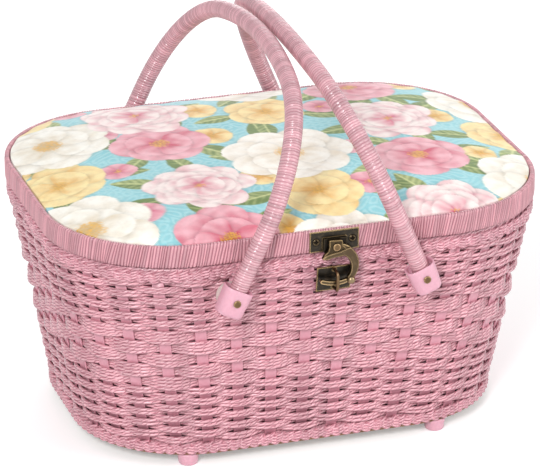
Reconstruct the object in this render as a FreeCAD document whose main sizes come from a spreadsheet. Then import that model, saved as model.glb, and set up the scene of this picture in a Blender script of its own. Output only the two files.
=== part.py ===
import FreeCAD, Part
import math
import os
import re

import Sketcher
from FreeCAD import Placement, Rotation, Vector

# A woven sewing box with a padded lid, two bail handles and a swing-hook clasp.
# Millimetres. Z is up from the floor, X runs along the length, the clasp faces -Y.
# The origin is on the floor under the middle of the box.

doc = FreeCAD.newDocument("sewing_box")
sheet = doc.addObject("Spreadsheet::Sheet", "Sizes")

SIZES = [
    # lid
    ("lid_length", 320.0),
    ("lid_width", 244.0),
    ("lid_corner", 81.0),
    ("rim_height", 14.4),
    ("rim_thickness", 3.6),
    ("rim_round", 1.2),
    ("lid_gap", 0.4),
    ("lid_board_thickness", 4.0),
    ("lid_board_drop", 6.0),
    ("lid_lining_thickness", 1.6),
    ("pad_crown", 10.6),
    ("pad_shoulder", 9.0),
    ("pad_inset", 52.0),
    ("fit_gap", 0.15),
    # basket shell
    ("basket_height", 145.2),
    ("border_proud", 2.2),
    ("base_length", 278.4),
    ("base_width", 201.2),
    ("base_corner", 75.5),
    ("foot_height", 7.6),
    ("top_border_height", 9.4),
    ("foot_border_height", 9.0),
    ("border_round", 3.0),
    ("wall_depth", 11.0),
    ("board_thickness", 3.2),
    ("board_inset", 3.0),
    ("lining_gap", 0.6),
    ("lining_thickness", 2.0),
    ("floor_thickness", 2.0),
    # woven wall
    ("stake_count", 40),
    ("stake_width", 6.8),
    ("stake_thickness", 1.0),
    ("weaver_thickness", 2.0),
    ("weave_gap", 0.18),
    ("row_gap", 0.3),
    ("upper_rows", 9),
    ("middle_rows", 5),
    ("lower_rows", 10),
    ("tall_row", 2.1),
    # feet
    ("foot_x", 82.0),
    ("foot_y", 90.0),
    ("foot_radius", 7.0),
    ("foot_draft", 0.8),
    ("screw_radius", 1.2),
    ("screw_head_radius", 2.4),
    ("screw_head_height", 1.2),
    ("foot_recess", 2.4),
    # bail handles
    ("pivot_stake", 2),
    ("pivot_left_shift", 5.8),
    ("pivot_right_shift", -1.5),
    ("pivot_drop", 10.1),
    ("rod_radius", 5.7),
    ("core_radius", 3.0),
    ("bow_height", 134.7),
    ("bow_leg", 46.0),
    ("bow_crown", 5.7),
    ("bow_gap", 0.3),
    ("socket_width", 19.0),
    ("socket_foot_width", 17.0),
    ("socket_depth", 14.0),
    ("socket_above", 7.8),
    ("socket_below", 10.2),
    ("socket_corner", 5.5),
    ("socket_round", 2.4),
    ("socket_wall", 1.7),
    ("rivet_radius", 1.2),
    ("rivet_head_radius", 2.4),
    ("rivet_head_height", 1.3),
    ("washer_radius", 8.5),
    ("washer_thickness", 2.0),
    ("backing_radius", 4.5),
    ("backing_thickness", 1.2),
    ("backing_gap", 0.5),
    ("run_gap", 0.1),
    # clasp
    ("clasp_x", 2.4),
    ("plate_length", 31.8),
    ("plate_height", 13.4),
    ("plate_thickness", 1.0),
    ("boss_length", 15.0),
    ("boss_height", 9.0),
    ("boss_stand", 2.0),
    ("hook_thickness", 2.4),
    ("hook_eye_radius", 3.6),
    ("hook_pivot_radius", 1.3),
    ("hook_reach", 24.0),
    ("hook_bulge", 12.6),
    ("hook_waist", 3.4),
    ("tail_width", 2.4),
    ("tail_left", 9.0),
    ("tail_right", 8.0),
    ("knob_radius", 2.7),
    ("catch_length", 22.3),
    ("catch_height", 17.0),
    ("staple_wire", 1.0),
    ("staple_room", 1.6),
    ("staple_bend", 2.6),
    ("staple_span", 12.1),
    ("catch_drop", 8.1),
    # hinges
    ("hinge_x", 27.0),
    ("hinge_width", 26.0),
    ("hinge_barrel", 2.1),
    ("hinge_pin", 0.9),
    ("hinge_stand", 1.6),
    ("hinge_leaf", 1.2),
    ("hinge_leaf_height", 10.0),
    ("hinge_knuckle", 11.0),
    ("hinge_screw_pitch", 16.0),
]
for row, (alias, number) in enumerate(SIZES, start=1):
    sheet.set(f"A{row}", alias)
    sheet.set(f"B{row}", str(number))
    sheet.setAlias(f"B{row}", alias)
doc.recompute()

ALIASES = {alias for alias, number in SIZES}
mm = {alias: float(sheet.get(alias)) for alias in ALIASES}

# Lengths that several pieces share, as expressions of the sheet.
RIM_LOW = "(basket_height + lid_gap)"
RIM_TOP = "(basket_height + lid_gap + rim_height)"
BOARD_TOP = "(foot_height + board_thickness)"
WALL_LOW = "(foot_height + foot_border_height)"
WALL_TOP = "(basket_height - top_border_height)"
PIVOT_Z = f"({WALL_TOP} - pivot_drop)"


def bound(expression):
    """Puts the sheet's name before each alias in an expression."""
    return re.sub(r"[a-z][a-z_]*", lambda m: "Sizes." + m[0] if m[0] in ALIASES else m[0], expression)


def bind(thing, **sizes):
    """Binds properties to expressions; a double underscore stands for a dot."""
    for name, expression in sizes.items():
        thing.setExpression(name.replace("__", "."), bound(expression))


def outline_at(height, inset):
    """Length, width and corner of the wall's outer outline at a height, drawn in by an inset."""
    share = f"(({height} - foot_height) / (basket_height - foot_height))"
    length = f"base_length + (lid_length + 2 * border_proud - base_length) * {share} - 2 * ({inset})"
    width = f"base_width + (lid_width + 2 * border_proud - base_width) * {share} - 2 * ({inset})"
    corner = f"base_corner + (lid_corner + border_proud - base_corner) * {share} - ({inset})"
    return length, width, corner


def rim_outline(inset):
    """Length, width and corner of the lid's outline, drawn in by an inset."""
    return f"lid_length - 2 * ({inset})", f"lid_width - 2 * ({inset})", f"lid_corner - ({inset})"


# Sketches and bodies

def new_body(label):
    body = doc.addObject("PartDesign::Body", label + "_body")
    return body


def flat_sketch(body, height):
    """A sketch on the body's own XY plane, lifted by an expression."""
    plane = next(f for f in body.Origin.OriginFeatures if f.Role == "XY_Plane")
    sketch = body.newObject("Sketcher::SketchObject", "Outline")
    sketch.AttachmentSupport = (plane, [""])
    sketch.MapMode = "FlatFace"
    bind(sketch, AttachmentOffset__Base__z=height)
    return sketch


def rounded_rect(sketch, outline, guess=None):
    """A rounded rectangle about the sketch's origin: four lines, four tangent arcs, three sizes."""
    length, width, corner = outline
    guess = guess or (mm["lid_length"], mm["lid_width"], mm["lid_corner"])
    a, b, r = guess[0] / 2, guess[1] / 2, guess[2]
    up = Vector(0, 0, 1)
    corners = [(a - r, r - b, -90), (a - r, b - r, 0), (r - a, b - r, 90), (r - a, r - b, 180)]
    ends = [
        (Vector(r - a, -b), Vector(a - r, -b)),
        (Vector(a, r - b), Vector(a, b - r)),
        (Vector(a - r, b), Vector(r - a, b)),
        (Vector(-a, b - r), Vector(-a, r - b)),
    ]
    lines, arcs = [], []
    for (start, end), (x, y, turn) in zip(ends, corners):
        lines.append(sketch.addGeometry(Part.LineSegment(start, end)))
        round_edge = Part.Circle(Vector(x, y), up, r)
        span = math.radians(turn), math.radians(turn + 90)
        arcs.append(sketch.addGeometry(Part.ArcOfCircle(round_edge, *span)))
    for k in range(4):
        sketch.addConstraint(Sketcher.Constraint("Tangent", lines[k], 2, arcs[k], 1))
        sketch.addConstraint(Sketcher.Constraint("Tangent", arcs[k], 2, lines[(k + 1) % 4], 1))
        sketch.addConstraint(Sketcher.Constraint("Vertical" if k % 2 else "Horizontal", lines[k]))
    for k in range(1, 4):
        sketch.addConstraint(Sketcher.Constraint("Equal", arcs[0], arcs[k]))
    sketch.addConstraint(Sketcher.Constraint("Symmetric", lines[0], 1, lines[2], 1, -1, 1))
    for kind, first, second, size, value in (
        ("DistanceX", lines[3], lines[1], length, 2 * a),
        ("DistanceY", lines[0], lines[2], width, 2 * b),
    ):
        at = sketch.addConstraint(Sketcher.Constraint(kind, first, 1, second, 1, value))
        sketch.setExpression(f"Constraints[{at}]", bound(size))
    at = sketch.addConstraint(Sketcher.Constraint("Radius", arcs[0], r))
    sketch.setExpression(f"Constraints[{at}]", bound(corner))


def pad(body, height, rise, *outlines, guess=None):
    """A pad of one or two nested rounded rectangles, from a height up by a rise."""
    sketch = flat_sketch(body, height)
    for outline in outlines:
        rounded_rect(sketch, outline, guess)
    feature = body.newObject("PartDesign::Pad", "Pad")
    feature.Profile = sketch
    bind(feature, Length=rise)
    return feature


def loft(body, kind, sections, ruled=True, guess=None):
    """A loft through rounded rectangles, each given as a height and an outline."""
    sketches = []
    for height, outline in sections:
        sketches.append(flat_sketch(body, height))
        rounded_rect(sketches[-1], outline, guess)
    feature = body.newObject("PartDesign::" + kind, kind)
    feature.Profile = sketches[0]
    feature.Sections = sketches[1:]
    feature.Ruled = ruled
    return feature


def round_edges(body, base, radius, keep):
    """Rounds the level edges of a feature that keep(edge) picks."""
    doc.recompute()
    names = [f"Edge{k}" for k, edge in enumerate(base.Shape.Edges, start=1)
             if edge.BoundBox.ZLength < 1e-6 and keep(edge)]
    feature = body.newObject("PartDesign::Fillet", "Fillet")
    feature.Base = (base, names)
    bind(feature, Radius=radius)
    return feature


# Round and square stock along the axes

def bar(name, radius, length, x, y, z, side=-1):
    """A round bar along Y that starts at y and runs towards -Y (side -1) or +Y (side 1)."""
    thing = doc.addObject("Part::Cylinder", name)
    thing.Placement = Placement(Vector(), Rotation(Vector(1, 0, 0), -90 * side))
    bind(thing, Radius=radius, Height=length, Placement__Base__x=x, Placement__Base__y=y, Placement__Base__z=z)
    return thing


def cross_bar(name, radius, length, x, y, z):
    """A round bar along X, centred on x."""
    thing = doc.addObject("Part::Cylinder", name)
    thing.Placement = Placement(Vector(), Rotation(Vector(0, 1, 0), 90))
    start = f"({x}) - ({length}) / 2"
    bind(thing, Radius=radius, Height=length,
         Placement__Base__x=start, Placement__Base__y=y, Placement__Base__z=z)
    return thing


def block(name, size, low):
    """A square block from its sizes and its lowest corner."""
    thing = doc.addObject("Part::Box", name)
    bind(thing, Length=size[0], Width=size[1], Height=size[2])
    bind(thing, Placement__Base__x=low[0], Placement__Base__y=low[1], Placement__Base__z=low[2])
    return thing


def joined(name, things):
    thing = doc.addObject("Part::MultiFuse", name)
    thing.Shapes = things
    return thing


def group(name, things):
    thing = doc.addObject("Part::Compound", name)
    thing.Links = things
    return thing


def cut(name, base, tools):
    thing = doc.addObject("Part::Cut", name)
    thing.Base = base
    thing.Tool = tools[0] if len(tools) == 1 else group(name + "_tools", tools)
    return thing


nodes = []


def node(thing, label):
    """Names a finished piece."""
    thing.Label = label
    nodes.append(thing)
    return thing


# Outline geometry for the weave, worked out along the wall

def perimeter(half_x, half_y, corner):
    return 4 * (half_x + half_y - 2 * corner) + 2 * math.pi * corner


def outline_point(half_x, half_y, corner, share):
    """A point on a rounded rectangle and its outward normal, at a share of the way round from the front."""
    flat_x, flat_y = half_x - corner, half_y - corner
    bend = math.pi * corner / 2
    runs = [flat_x, bend, 2 * flat_y, bend, 2 * flat_x, bend, 2 * flat_y, bend, flat_x]
    along = share % 1 * perimeter(half_x, half_y, corner)
    step = 0
    while along > runs[step] and step < 8:
        along -= runs[step]
        step += 1
    starts = [(0, -half_y), None, (half_x, -flat_y), None, (flat_x, half_y), None, (-half_x, flat_y), None,
              (-flat_x, -half_y)]
    centres = {1: (flat_x, -flat_y), 3: (flat_x, flat_y), 5: (-flat_x, flat_y), 7: (-flat_x, -flat_y)}
    turn = -math.pi / 2 + (step // 2) * math.pi / 2
    if step in centres:
        turn += along / corner
        normal = Vector(math.cos(turn), math.sin(turn))
        return Vector(*centres[step]) + normal * corner, normal
    normal = Vector(math.cos(turn), math.sin(turn))
    return Vector(*starts[step]) + Vector(-normal.y, normal.x) * along, normal


def wall_outline(z, inset):
    """Half length, half width and corner of the wall's outline at a height, in numbers."""
    share = (z - mm["foot_height"]) / (mm["basket_height"] - mm["foot_height"])
    top = (mm["lid_length"] / 2 + mm["border_proud"], mm["lid_width"] / 2 + mm["border_proud"],
           mm["lid_corner"] + mm["border_proud"])
    low = (mm["base_length"] / 2, mm["base_width"] / 2, mm["base_corner"])
    return [a + (b - a) * share - inset for a, b in zip(low, top)]


wall_low = mm["foot_height"] + mm["foot_border_height"]
wall_top = mm["basket_height"] - mm["top_border_height"]
row_count = mm["upper_rows"] + mm["lower_rows"] + mm["tall_row"] * mm["middle_rows"]
row_height = (wall_top - wall_low) / row_count
stake_count = int(mm["stake_count"])
stake_line = mm["wall_depth"] / 2
lean = max(b - a for a, b in zip(wall_outline(0, 0)[:2], wall_outline(1, 0)[:2]))


pivot_z = wall_top - mm["pivot_drop"]


# Base: a board with a border round it and a floor card on it

base_outline = outline_at("foot_height", "0")
board = new_body("base_board")
pad(board, "foot_height", "board_thickness", outline_at("foot_height", "board_inset"))
node(board, "base_board")

foot_border = new_body("foot_border")
ring = pad(foot_border, "foot_height", "foot_border_height", base_outline, outline_at(WALL_LOW, "wall_depth"))
border_top = wall_low
round_edges(foot_border, ring, "border_round", lambda e: abs(e.BoundBox.ZMin - border_top) < 1e-6)
rebate = flat_sketch(foot_border, "foot_height")
rounded_rect(rebate, outline_at("foot_height", "board_inset - fit_gap"))
pocket = foot_border.newObject("PartDesign::Pocket", "Rebate")
pocket.Profile = rebate
pocket.Reversed = True
bind(pocket, Length="board_thickness + fit_gap")
node(foot_border, "foot_border")

floor_inset = "wall_depth + lining_gap + lining_thickness + fit_gap"
floor_card = new_body("lining_floor")
loft(floor_card, "AdditiveLoft", [
    (BOARD_TOP, outline_at(BOARD_TOP, floor_inset)),
    (f"{BOARD_TOP} + floor_thickness", outline_at(f"{BOARD_TOP} + floor_thickness", floor_inset)),
])
node(floor_card, "lining_floor")


# Feet: tapered plastic buttons, each held by a countersunk screw from below

feet, foot_screws = [], []
for side_x in (-1, 1):
    for side_y in (-1, 1):
        x, y = f"{side_x} * foot_x", f"{side_y} * foot_y"
        button = doc.addObject("Part::Cone", "FootButton")
        bind(button, Radius1="foot_radius - foot_draft", Radius2="foot_radius", Height="foot_height")
        recess = doc.addObject("Part::Cylinder", "FootRecess")
        bind(recess, Radius="screw_head_radius + fit_gap", Height="foot_recess")
        hole = doc.addObject("Part::Cylinder", "FootHole")
        bind(hole, Radius="screw_radius", Height="foot_height")
        head = doc.addObject("Part::Cylinder", "FootScrewHead")
        bind(head, Radius="screw_head_radius", Height="screw_head_height",
             Placement__Base__z="foot_recess - screw_head_height")
        shank = doc.addObject("Part::Cylinder", "FootScrewShank")
        bind(shank, Radius="screw_radius", Height="foot_height - foot_recess", Placement__Base__z="foot_recess")
        for thing in (button, recess, hole, head, shank):
            bind(thing, Placement__Base__x=x, Placement__Base__y=y)
        feet.append(cut("Foot", button, [recess, hole]))
        foot_screws.append(joined("FootScrew", [head, shank]))
node(group("Feet", feet), "feet")
node(group("FootScrews", foot_screws), "foot_screws")


# Handle pivots: a rivet, a spacer washer outside and a backing washer inside at each end of each bow

WASHER_Y = f"({outline_at(f'({PIVOT_Z} + washer_radius)', '0')[1]}) / 2 + fit_gap"
SOCKET_Y = f"({WASHER_Y} + washer_thickness + run_gap)"
ROD_Y = f"({SOCKET_Y} + socket_depth / 2)"
LINING_INSET = "(wall_depth + lining_gap + lining_thickness)"
BACKING_Y = f"(({outline_at(f'({PIVOT_Z} - backing_radius)', LINING_INSET)[1]}) / 2 - backing_gap)"
SHANK = f"({SOCKET_Y} + socket_depth + run_gap - {BACKING_Y} + backing_thickness)"

along, across, bend = outline_at(PIVOT_Z, "wall_depth / 2")
ROUND = f"(2 * ({along}) + 2 * ({across}) - (8 - 2 * pi) * ({bend}))"
STAKE_X = f"((pivot_stake + 0.5) / stake_count * {ROUND})"

rivets, washers, backings, drills = [], [], [], []
for side_x, shift in ((-1, "pivot_left_shift"), (1, "pivot_right_shift")):
    for side_y in (-1, 1):
        x = f"{side_x} * ({STAKE_X} + {shift})"
        tail_y = f"{side_y} * ({BACKING_Y} - backing_thickness)"
        shank = bar("RivetShank", "rivet_radius", SHANK, x, tail_y, PIVOT_Z, side_y)
        head_y = f"{side_y} * ({SOCKET_Y} + socket_depth + run_gap)"
        head = bar("RivetHead", "rivet_head_radius", "rivet_head_height", x, head_y, PIVOT_Z, side_y)
        tail = bar("RivetTail", "rivet_head_radius", "rivet_head_height / 2", x, tail_y, PIVOT_Z, -side_y)
        rivets.append(joined("Rivet", [shank, head, tail]))
        drill = bar("RivetDrill", "rivet_radius + run_gap", SHANK, x, tail_y, PIVOT_Z, side_y)
        drills.append(drill)
        washer = bar("Washer", "washer_radius", "washer_thickness",
                     x, f"{side_y} * ({WASHER_Y})", PIVOT_Z, side_y)
        washers.append(cut("SpacerWasher", washer, [drill]))
        backing = bar("Backing", "backing_radius", "backing_thickness", x, tail_y, PIVOT_Z, side_y)
        backings.append(cut("BackingWasher", backing, [drill]))
node(group("Rivets", rivets), "pivot_rivets")
node(group("Washers", washers), "spacer_washers")
node(group("Backings", backings), "backing_washers")


# Catch: a plate on the woven wall with a wire staple through it

catch_z = wall_top - mm["catch_drop"]
staple_top, staple_low = catch_z + mm["staple_span"] / 2, catch_z - mm["staple_span"] / 2
wall_y = wall_outline(catch_z, 0)[1]
slope = math.degrees(math.atan2(wall_outline(1, 0)[1] - wall_outline(0, 0)[1], 1))
hook_front = sum(mm[name] for name in ("plate_thickness", "boss_stand", "run_gap", "hook_thickness"))
hook_front += mm["lid_width"] / 2


def staple_wire(radius):
    """A U of round wire in the YZ plane at the clasp's x, with its legs pointing into the wall."""
    x, bend = mm["clasp_x"], mm["staple_bend"]
    inner_y = -(wall_outline(staple_top, mm["wall_depth"])[1] + mm["stake_thickness"])
    front = -(hook_front + mm["staple_room"] + mm["staple_wire"])
    near = front + bend
    half = bend * math.sqrt(0.5)
    top_mid = Vector(x, near - half, staple_top - bend + half)
    low_mid = Vector(x, near - half, staple_low + bend - half)
    edges = [
        Part.makeLine(Vector(x, inner_y, staple_top), Vector(x, near, staple_top)),
        Part.Arc(Vector(x, near, staple_top), top_mid, Vector(x, front, staple_top - bend)).toShape(),
        Part.makeLine(Vector(x, front, staple_top - bend), Vector(x, front, staple_low + bend)),
        Part.Arc(Vector(x, front, staple_low + bend), low_mid, Vector(x, near, staple_low)).toShape(),
        Part.makeLine(Vector(x, near, staple_low), Vector(x, inner_y, staple_low)),
    ]
    section = Part.Wire(Part.makeCircle(radius, Vector(x, inner_y, staple_top), Vector(0, 1, 0)))
    return Part.Wire(edges).makePipeShell([section], True, False)


def solid(name, shape):
    thing = doc.addObject("Part::Feature", name)
    thing.Shape = shape
    return thing


staple = node(solid("Staple", staple_wire(mm["staple_wire"])), "catch_staple")
staple_drill = solid("StapleDrill", staple_wire(mm["staple_wire"] + mm["run_gap"]))

catch_blank = doc.addObject("Part::Box", "CatchBlank")
bind(catch_blank, Length="catch_length", Width="plate_thickness", Height="catch_height")
tilt = Rotation(Vector(1, 0, 0), slope)
corner = Vector(-mm["catch_length"] / 2, -mm["plate_thickness"] - mm["fit_gap"], -mm["catch_height"] / 2)
catch_blank.Placement = Placement(Vector(mm["clasp_x"], -wall_y, catch_z) + tilt.multVec(corner), tilt)
node(cut("CatchPlate", catch_blank, [staple_drill]), "catch_plate")


# Lining wall: a tapered tube inside the weave, standing on the base board

lining = new_body("lining_wall")
lining_top = "(basket_height - row_gap)"
loft(lining, "AdditiveLoft", [(z, outline_at(z, "wall_depth + lining_gap")) for z in (BOARD_TOP, lining_top)])
loft(lining, "SubtractiveLoft", [(z, outline_at(z, LINING_INSET)) for z in (BOARD_TOP, lining_top)])
node(cut("LiningWall", lining, drills), "lining_wall")


# Woven wall: flat stakes, and rows that pass in front of one stake and behind the next

doc.recompute()
passing = [drill.Shape for drill in drills] + [staple_drill.Shape]


def stake(index):
    """A flat strip from the foot border to the top border, along the middle of the wall."""
    share = (index + 0.5) / stake_count
    low, normal = outline_point(*wall_outline(wall_low, stake_line), share)
    top, normal_top = outline_point(*wall_outline(wall_top, stake_line), share)
    along = Vector(-normal.y, normal.x) * (mm["stake_width"] / 2)
    thick = normal * (mm["stake_thickness"] / 2)
    corners = [low + along + thick, low - along + thick, low - along - thick, low + along - thick]
    corners = [c + Vector(0, 0, wall_low) for c in corners]
    face = Part.Face(Part.makePolygon(corners + corners[:1]))
    return face.extrude(top - low + Vector(0, 0, wall_top - wall_low))


def woven_row(low, height, parity):
    """A closed zigzag band round the wall that swings out at every other stake and in between."""
    outline = wall_outline(low + height / 2, stake_line)
    pitch = perimeter(*outline) / stake_count
    bend = mm["stake_width"] * pitch / (4 * outline[2])
    need = (mm["stake_thickness"] + mm["weaver_thickness"] + lean * height) / 2 + mm["weave_gap"] + bend
    swing = need / (1 - mm["stake_width"] / pitch)
    rings = []
    for offset in (mm["weaver_thickness"] / 2, -mm["weaver_thickness"] / 2):
        points = []
        for index in range(stake_count):
            point, normal = outline_point(*outline, (index + 0.5) / stake_count)
            side = 1 if (index + parity) % 2 else -1
            points.append(point + normal * (side * swing + offset) + Vector(0, 0, low))
        rings.append(Part.makePolygon(points + points[:1]))
    face = Part.makeFace(rings, "Part::FaceMakerBullseye")
    return face.extrude(Vector(0, 0, height)).Solids[0]


def clear_of(shape):
    """Cuts the rivets and the staple's legs out of a row or a stake that they pass through."""
    met = [tool for tool in passing if shape.BoundBox.intersect(tool.BoundBox)]
    met = [tool for tool in met if shape.common(tool).Volume > 1e-6]
    return shape.cut(met) if met else shape


node(solid("Stakes", Part.makeCompound([clear_of(stake(k)) for k in range(stake_count)])), "stakes")

bands = (
    ("lower_weave", int(mm["lower_rows"]), 1.0),
    ("middle_weave", int(mm["middle_rows"]), mm["tall_row"]),
    ("upper_weave", int(mm["upper_rows"]), 1.0),
)
row_low, row_index = wall_low, 0
for label, count, tall in bands:
    rows = []
    for k in range(count):
        height = row_height * tall
        rows.append(clear_of(woven_row(row_low + mm["row_gap"] / 2, height - mm["row_gap"], row_index % 2)))
        row_low += height
        row_index += 1
    node(solid(label.title(), Part.makeCompound(rows)), label)


# Hinges: two small butt hinges on the back, their barrels just behind the border

BORDER_Y = "(lid_width / 2 + border_proud)"
HINGE_Y = f"({BORDER_Y} + hinge_stand)"
HINGE_Z = "basket_height + lid_gap / 2"
LEAF_LOW = f"({HINGE_Z} + hinge_barrel + lid_gap)"
SIDE_KNUCKLE = "((hinge_width - hinge_knuckle) / 2 - run_gap)"

lower_leaves, upper_leaves, pins, border_drills, rim_drills = [], [], [], [], []
lower_screws, upper_screws = [], []
for side_x in (-1, 1):
    x = f"{side_x} * hinge_x"
    pins.append(cross_bar("HingePin", "hinge_pin", "hinge_width", x, HINGE_Y, HINGE_Z))
    bore = cross_bar("HingeBore", "hinge_pin + run_gap / 2", "hinge_width + 1", x, HINGE_Y, HINGE_Z)
    drilled, low_leaf, high_leaf = [bore], [], []
    for side_s in (-1, 1):
        screw_x = f"{x} + {side_s} * hinge_screw_pitch / 2"
        low_z, high_z = f"{WALL_TOP} + top_border_height / 3", f"{LEAF_LOW} + hinge_leaf_height / 2"
        for z, face, leaf_drills, screws in (
            (low_z, BORDER_Y, border_drills, lower_screws),
            (high_z, "lid_width / 2", rim_drills, upper_screws),
        ):
            out_y = f"{face} + hinge_leaf"
            length = "hinge_leaf + rim_thickness * 2 / 3"
            head = bar("HingeScrewHead", "screw_radius * 1.6", "screw_head_height / 2", screw_x, out_y, z, 1)
            shank = bar("HingeScrewShank", "screw_radius * 0.8", length, screw_x, out_y, z, -1)
            drill = bar("HingeDrill", "screw_radius * 0.8", length, screw_x, out_y, z, -1)
            screws.append(joined("HingeScrew", [head, shank]))
            leaf_drills.append(drill)
            drilled.append(drill)
        knuckle_x = f"{x} + {side_s} * ({SIDE_KNUCKLE} + hinge_knuckle + 2 * run_gap) / 2"
        low_leaf.append(cross_bar("SideKnuckle", "hinge_barrel", SIDE_KNUCKLE, knuckle_x, HINGE_Y, HINGE_Z))
        low_leaf.append(block(
            "SideWeb",
            (SIDE_KNUCKLE, "hinge_stand + hinge_barrel / 2", f"{HINGE_Z} - basket_height + border_round"),
            (f"{knuckle_x} - {SIDE_KNUCKLE} / 2", BORDER_Y, "basket_height - border_round")))
    low_leaf.append(block(
        "LowerLeaf",
        ("hinge_width", "hinge_leaf", "top_border_height * 0.7"),
        (f"{x} - hinge_width / 2", BORDER_Y, f"{WALL_TOP} + fit_gap")))
    high_leaf.append(cross_bar("MidKnuckle", "hinge_barrel", "hinge_knuckle", x, HINGE_Y, HINGE_Z))
    high_leaf.append(block(
        "MidWeb",
        ("hinge_knuckle", f"{HINGE_Y} - lid_width / 2", "hinge_barrel + lid_gap"),
        (f"{x} - hinge_knuckle / 2", "lid_width / 2", f"{HINGE_Z} + hinge_barrel / 2")))
    high_leaf.append(block(
        "UpperLeaf",
        ("hinge_width", "hinge_leaf", "hinge_leaf_height"),
        (f"{x} - hinge_width / 2", "lid_width / 2", LEAF_LOW)))
    lower_leaves.append(cut("LowerHingeLeaf", joined("LowerHingeBlank", low_leaf), drilled))
    upper_leaves.append(cut("UpperHingeLeaf", joined("UpperHingeBlank", high_leaf), drilled))
node(group("LowerLeaves", lower_leaves), "basket_hinge_leaves")
node(group("UpperLeaves", upper_leaves), "lid_hinge_leaves")
node(group("HingePins", pins), "hinge_pins")
node(group("LowerHingeScrews", lower_screws), "basket_hinge_screws")
node(group("UpperHingeScrews", upper_screws), "lid_hinge_screws")


# Top border of the basket

top_border = new_body("top_border")
ring = pad(top_border, WALL_TOP, "top_border_height",
           outline_at("basket_height", "0"), outline_at("basket_height", "wall_depth"))
round_edges(top_border, ring, "border_round", lambda e: True)
node(cut("TopBorder", top_border, border_drills), "top_border")


# Clasp plate on the lid's rim: a flat plate with a raised boss that carries the hook

PLATE_Z = f"({RIM_LOW} + rim_height / 2)"
PLATE_Y = "(lid_width / 2 + plate_thickness)"
HOOK_Z = f"({RIM_LOW} + boss_height / 2)"
plate = block("ClaspPlateBlank", ("plate_length", "plate_thickness", "plate_height"),
              ("clasp_x - plate_length / 2", f"-{PLATE_Y}", f"{PLATE_Z} - plate_height / 2"))
boss = block("ClaspBoss", ("boss_length", "boss_stand", "boss_height"),
             ("clasp_x - boss_length / 2", f"-{PLATE_Y} - boss_stand", f"{PLATE_Z} - plate_height / 2"))
pivot_length = "plate_thickness + boss_stand + run_gap * 2 + hook_thickness"
pivot_y = "-lid_width / 2"
hook_rivet = joined("HookRivet", [
    bar("HookShank", "hook_pivot_radius", pivot_length, "clasp_x", pivot_y, HOOK_Z),
    bar("HookHead", "hook_pivot_radius * 1.8", "plate_thickness",
        "clasp_x", f"{pivot_y} - ({pivot_length})", HOOK_Z),
])
pivot_hole = bar("PivotHole", "hook_pivot_radius", pivot_length, "clasp_x", pivot_y, HOOK_Z)
clasp_screws, clasp_drills = [], [pivot_hole]
for side in (-1, 1):
    x = f"clasp_x + {side} * (plate_length + boss_length) / 4"
    reach = "plate_thickness + rim_thickness * 2 / 3"
    shank = bar("ClaspShank", "screw_radius", reach, x, f"-{PLATE_Y}", PLATE_Z, 1)
    head = bar("ClaspHead", "screw_radius * 1.7", "screw_head_height / 2", x, f"-{PLATE_Y}", PLATE_Z, -1)
    clasp_screws.append(joined("ClaspScrew", [shank, head]))
    drill = bar("ClaspDrill", "screw_radius", reach, x, f"-{PLATE_Y}", PLATE_Z, 1)
    clasp_drills.append(drill)
    rim_drills.append(drill)
node(cut("ClaspPlate", joined("ClaspBlank", [plate, boss]), clasp_drills), "clasp_plate")
node(group("ClaspScrews", clasp_screws), "clasp_screws")
node(hook_rivet, "hook_rivet")


# Hook: an eye, a crescent that bulges to the right, a thumb knob and a tail about the pivot

def hook_shape():
    """The hook about its pivot, flat in XZ, running back from its front face."""
    reach, half = mm["hook_reach"], mm["tail_width"] / 2
    back = Vector(0, mm["hook_thickness"], 0)
    eye = Part.makeCylinder(mm["hook_eye_radius"], mm["hook_thickness"], Vector(), Vector(0, 1, 0))
    left, right = math.asin(mm["tail_left"] / reach), math.asin(mm["tail_right"] / reach)

    def on_arc(radius, turn):
        return Vector(radius * math.sin(turn), 0, -radius * math.cos(turn))

    knee = on_arc(reach, right)
    waist = mm["hook_waist"] / 2
    bulge = Vector(mm["hook_bulge"], 0, -reach * 0.45)
    top_out, top_in = Vector(half, 0, mm["hook_eye_radius"] - waist), Vector(half, 0, -mm["hook_eye_radius"])
    knee_out, knee_in = on_arc(reach + half, right), on_arc(reach - half, right)
    crescent = Part.Face(Part.Wire([
        Part.Arc(top_out, bulge + Vector(waist, 0, 0), knee_out).toShape(),
        Part.makeLine(knee_out, knee_in),
        Part.Arc(knee_in, bulge - Vector(waist, 0, 0), top_in).toShape(),
        Part.makeLine(top_in, top_out),
    ]))
    middle = (right - left) / 2
    tip = on_arc(reach, -left - half / reach)
    tail = Part.Face(Part.Wire([
        Part.Arc(knee_out, on_arc(reach + half, middle), on_arc(reach + half, -left)).toShape(),
        Part.Arc(on_arc(reach + half, -left), tip, on_arc(reach - half, -left)).toShape(),
        Part.Arc(on_arc(reach - half, -left), on_arc(reach - half, middle), knee_in).toShape(),
        Part.makeLine(knee_in, knee_out),
    ]))
    knob_at = Vector(mm["knob_radius"] / 2, mm["hook_thickness"] - mm["knob_radius"], 0)
    knob = Part.makeSphere(mm["knob_radius"], knee + knob_at)
    hole_radius = mm["hook_pivot_radius"] + mm["run_gap"]
    hole = Part.makeCylinder(hole_radius, mm["hook_thickness"], Vector(), Vector(0, 1, 0))
    whole = eye.fuse([crescent.extrude(back), tail.extrude(back), knob]).removeSplitter()
    return whole.cut(hole)


hook = solid("Hook", hook_shape())
hook_y = f"-{PLATE_Y} - boss_stand - run_gap - hook_thickness"
bind(hook, Placement__Base__x="clasp_x", Placement__Base__y=hook_y, Placement__Base__z=HOOK_Z)
node(hook, "hook")


# Lid: a wound rim hoop, a board in it, a crowned pad on top and a lining card below

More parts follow.
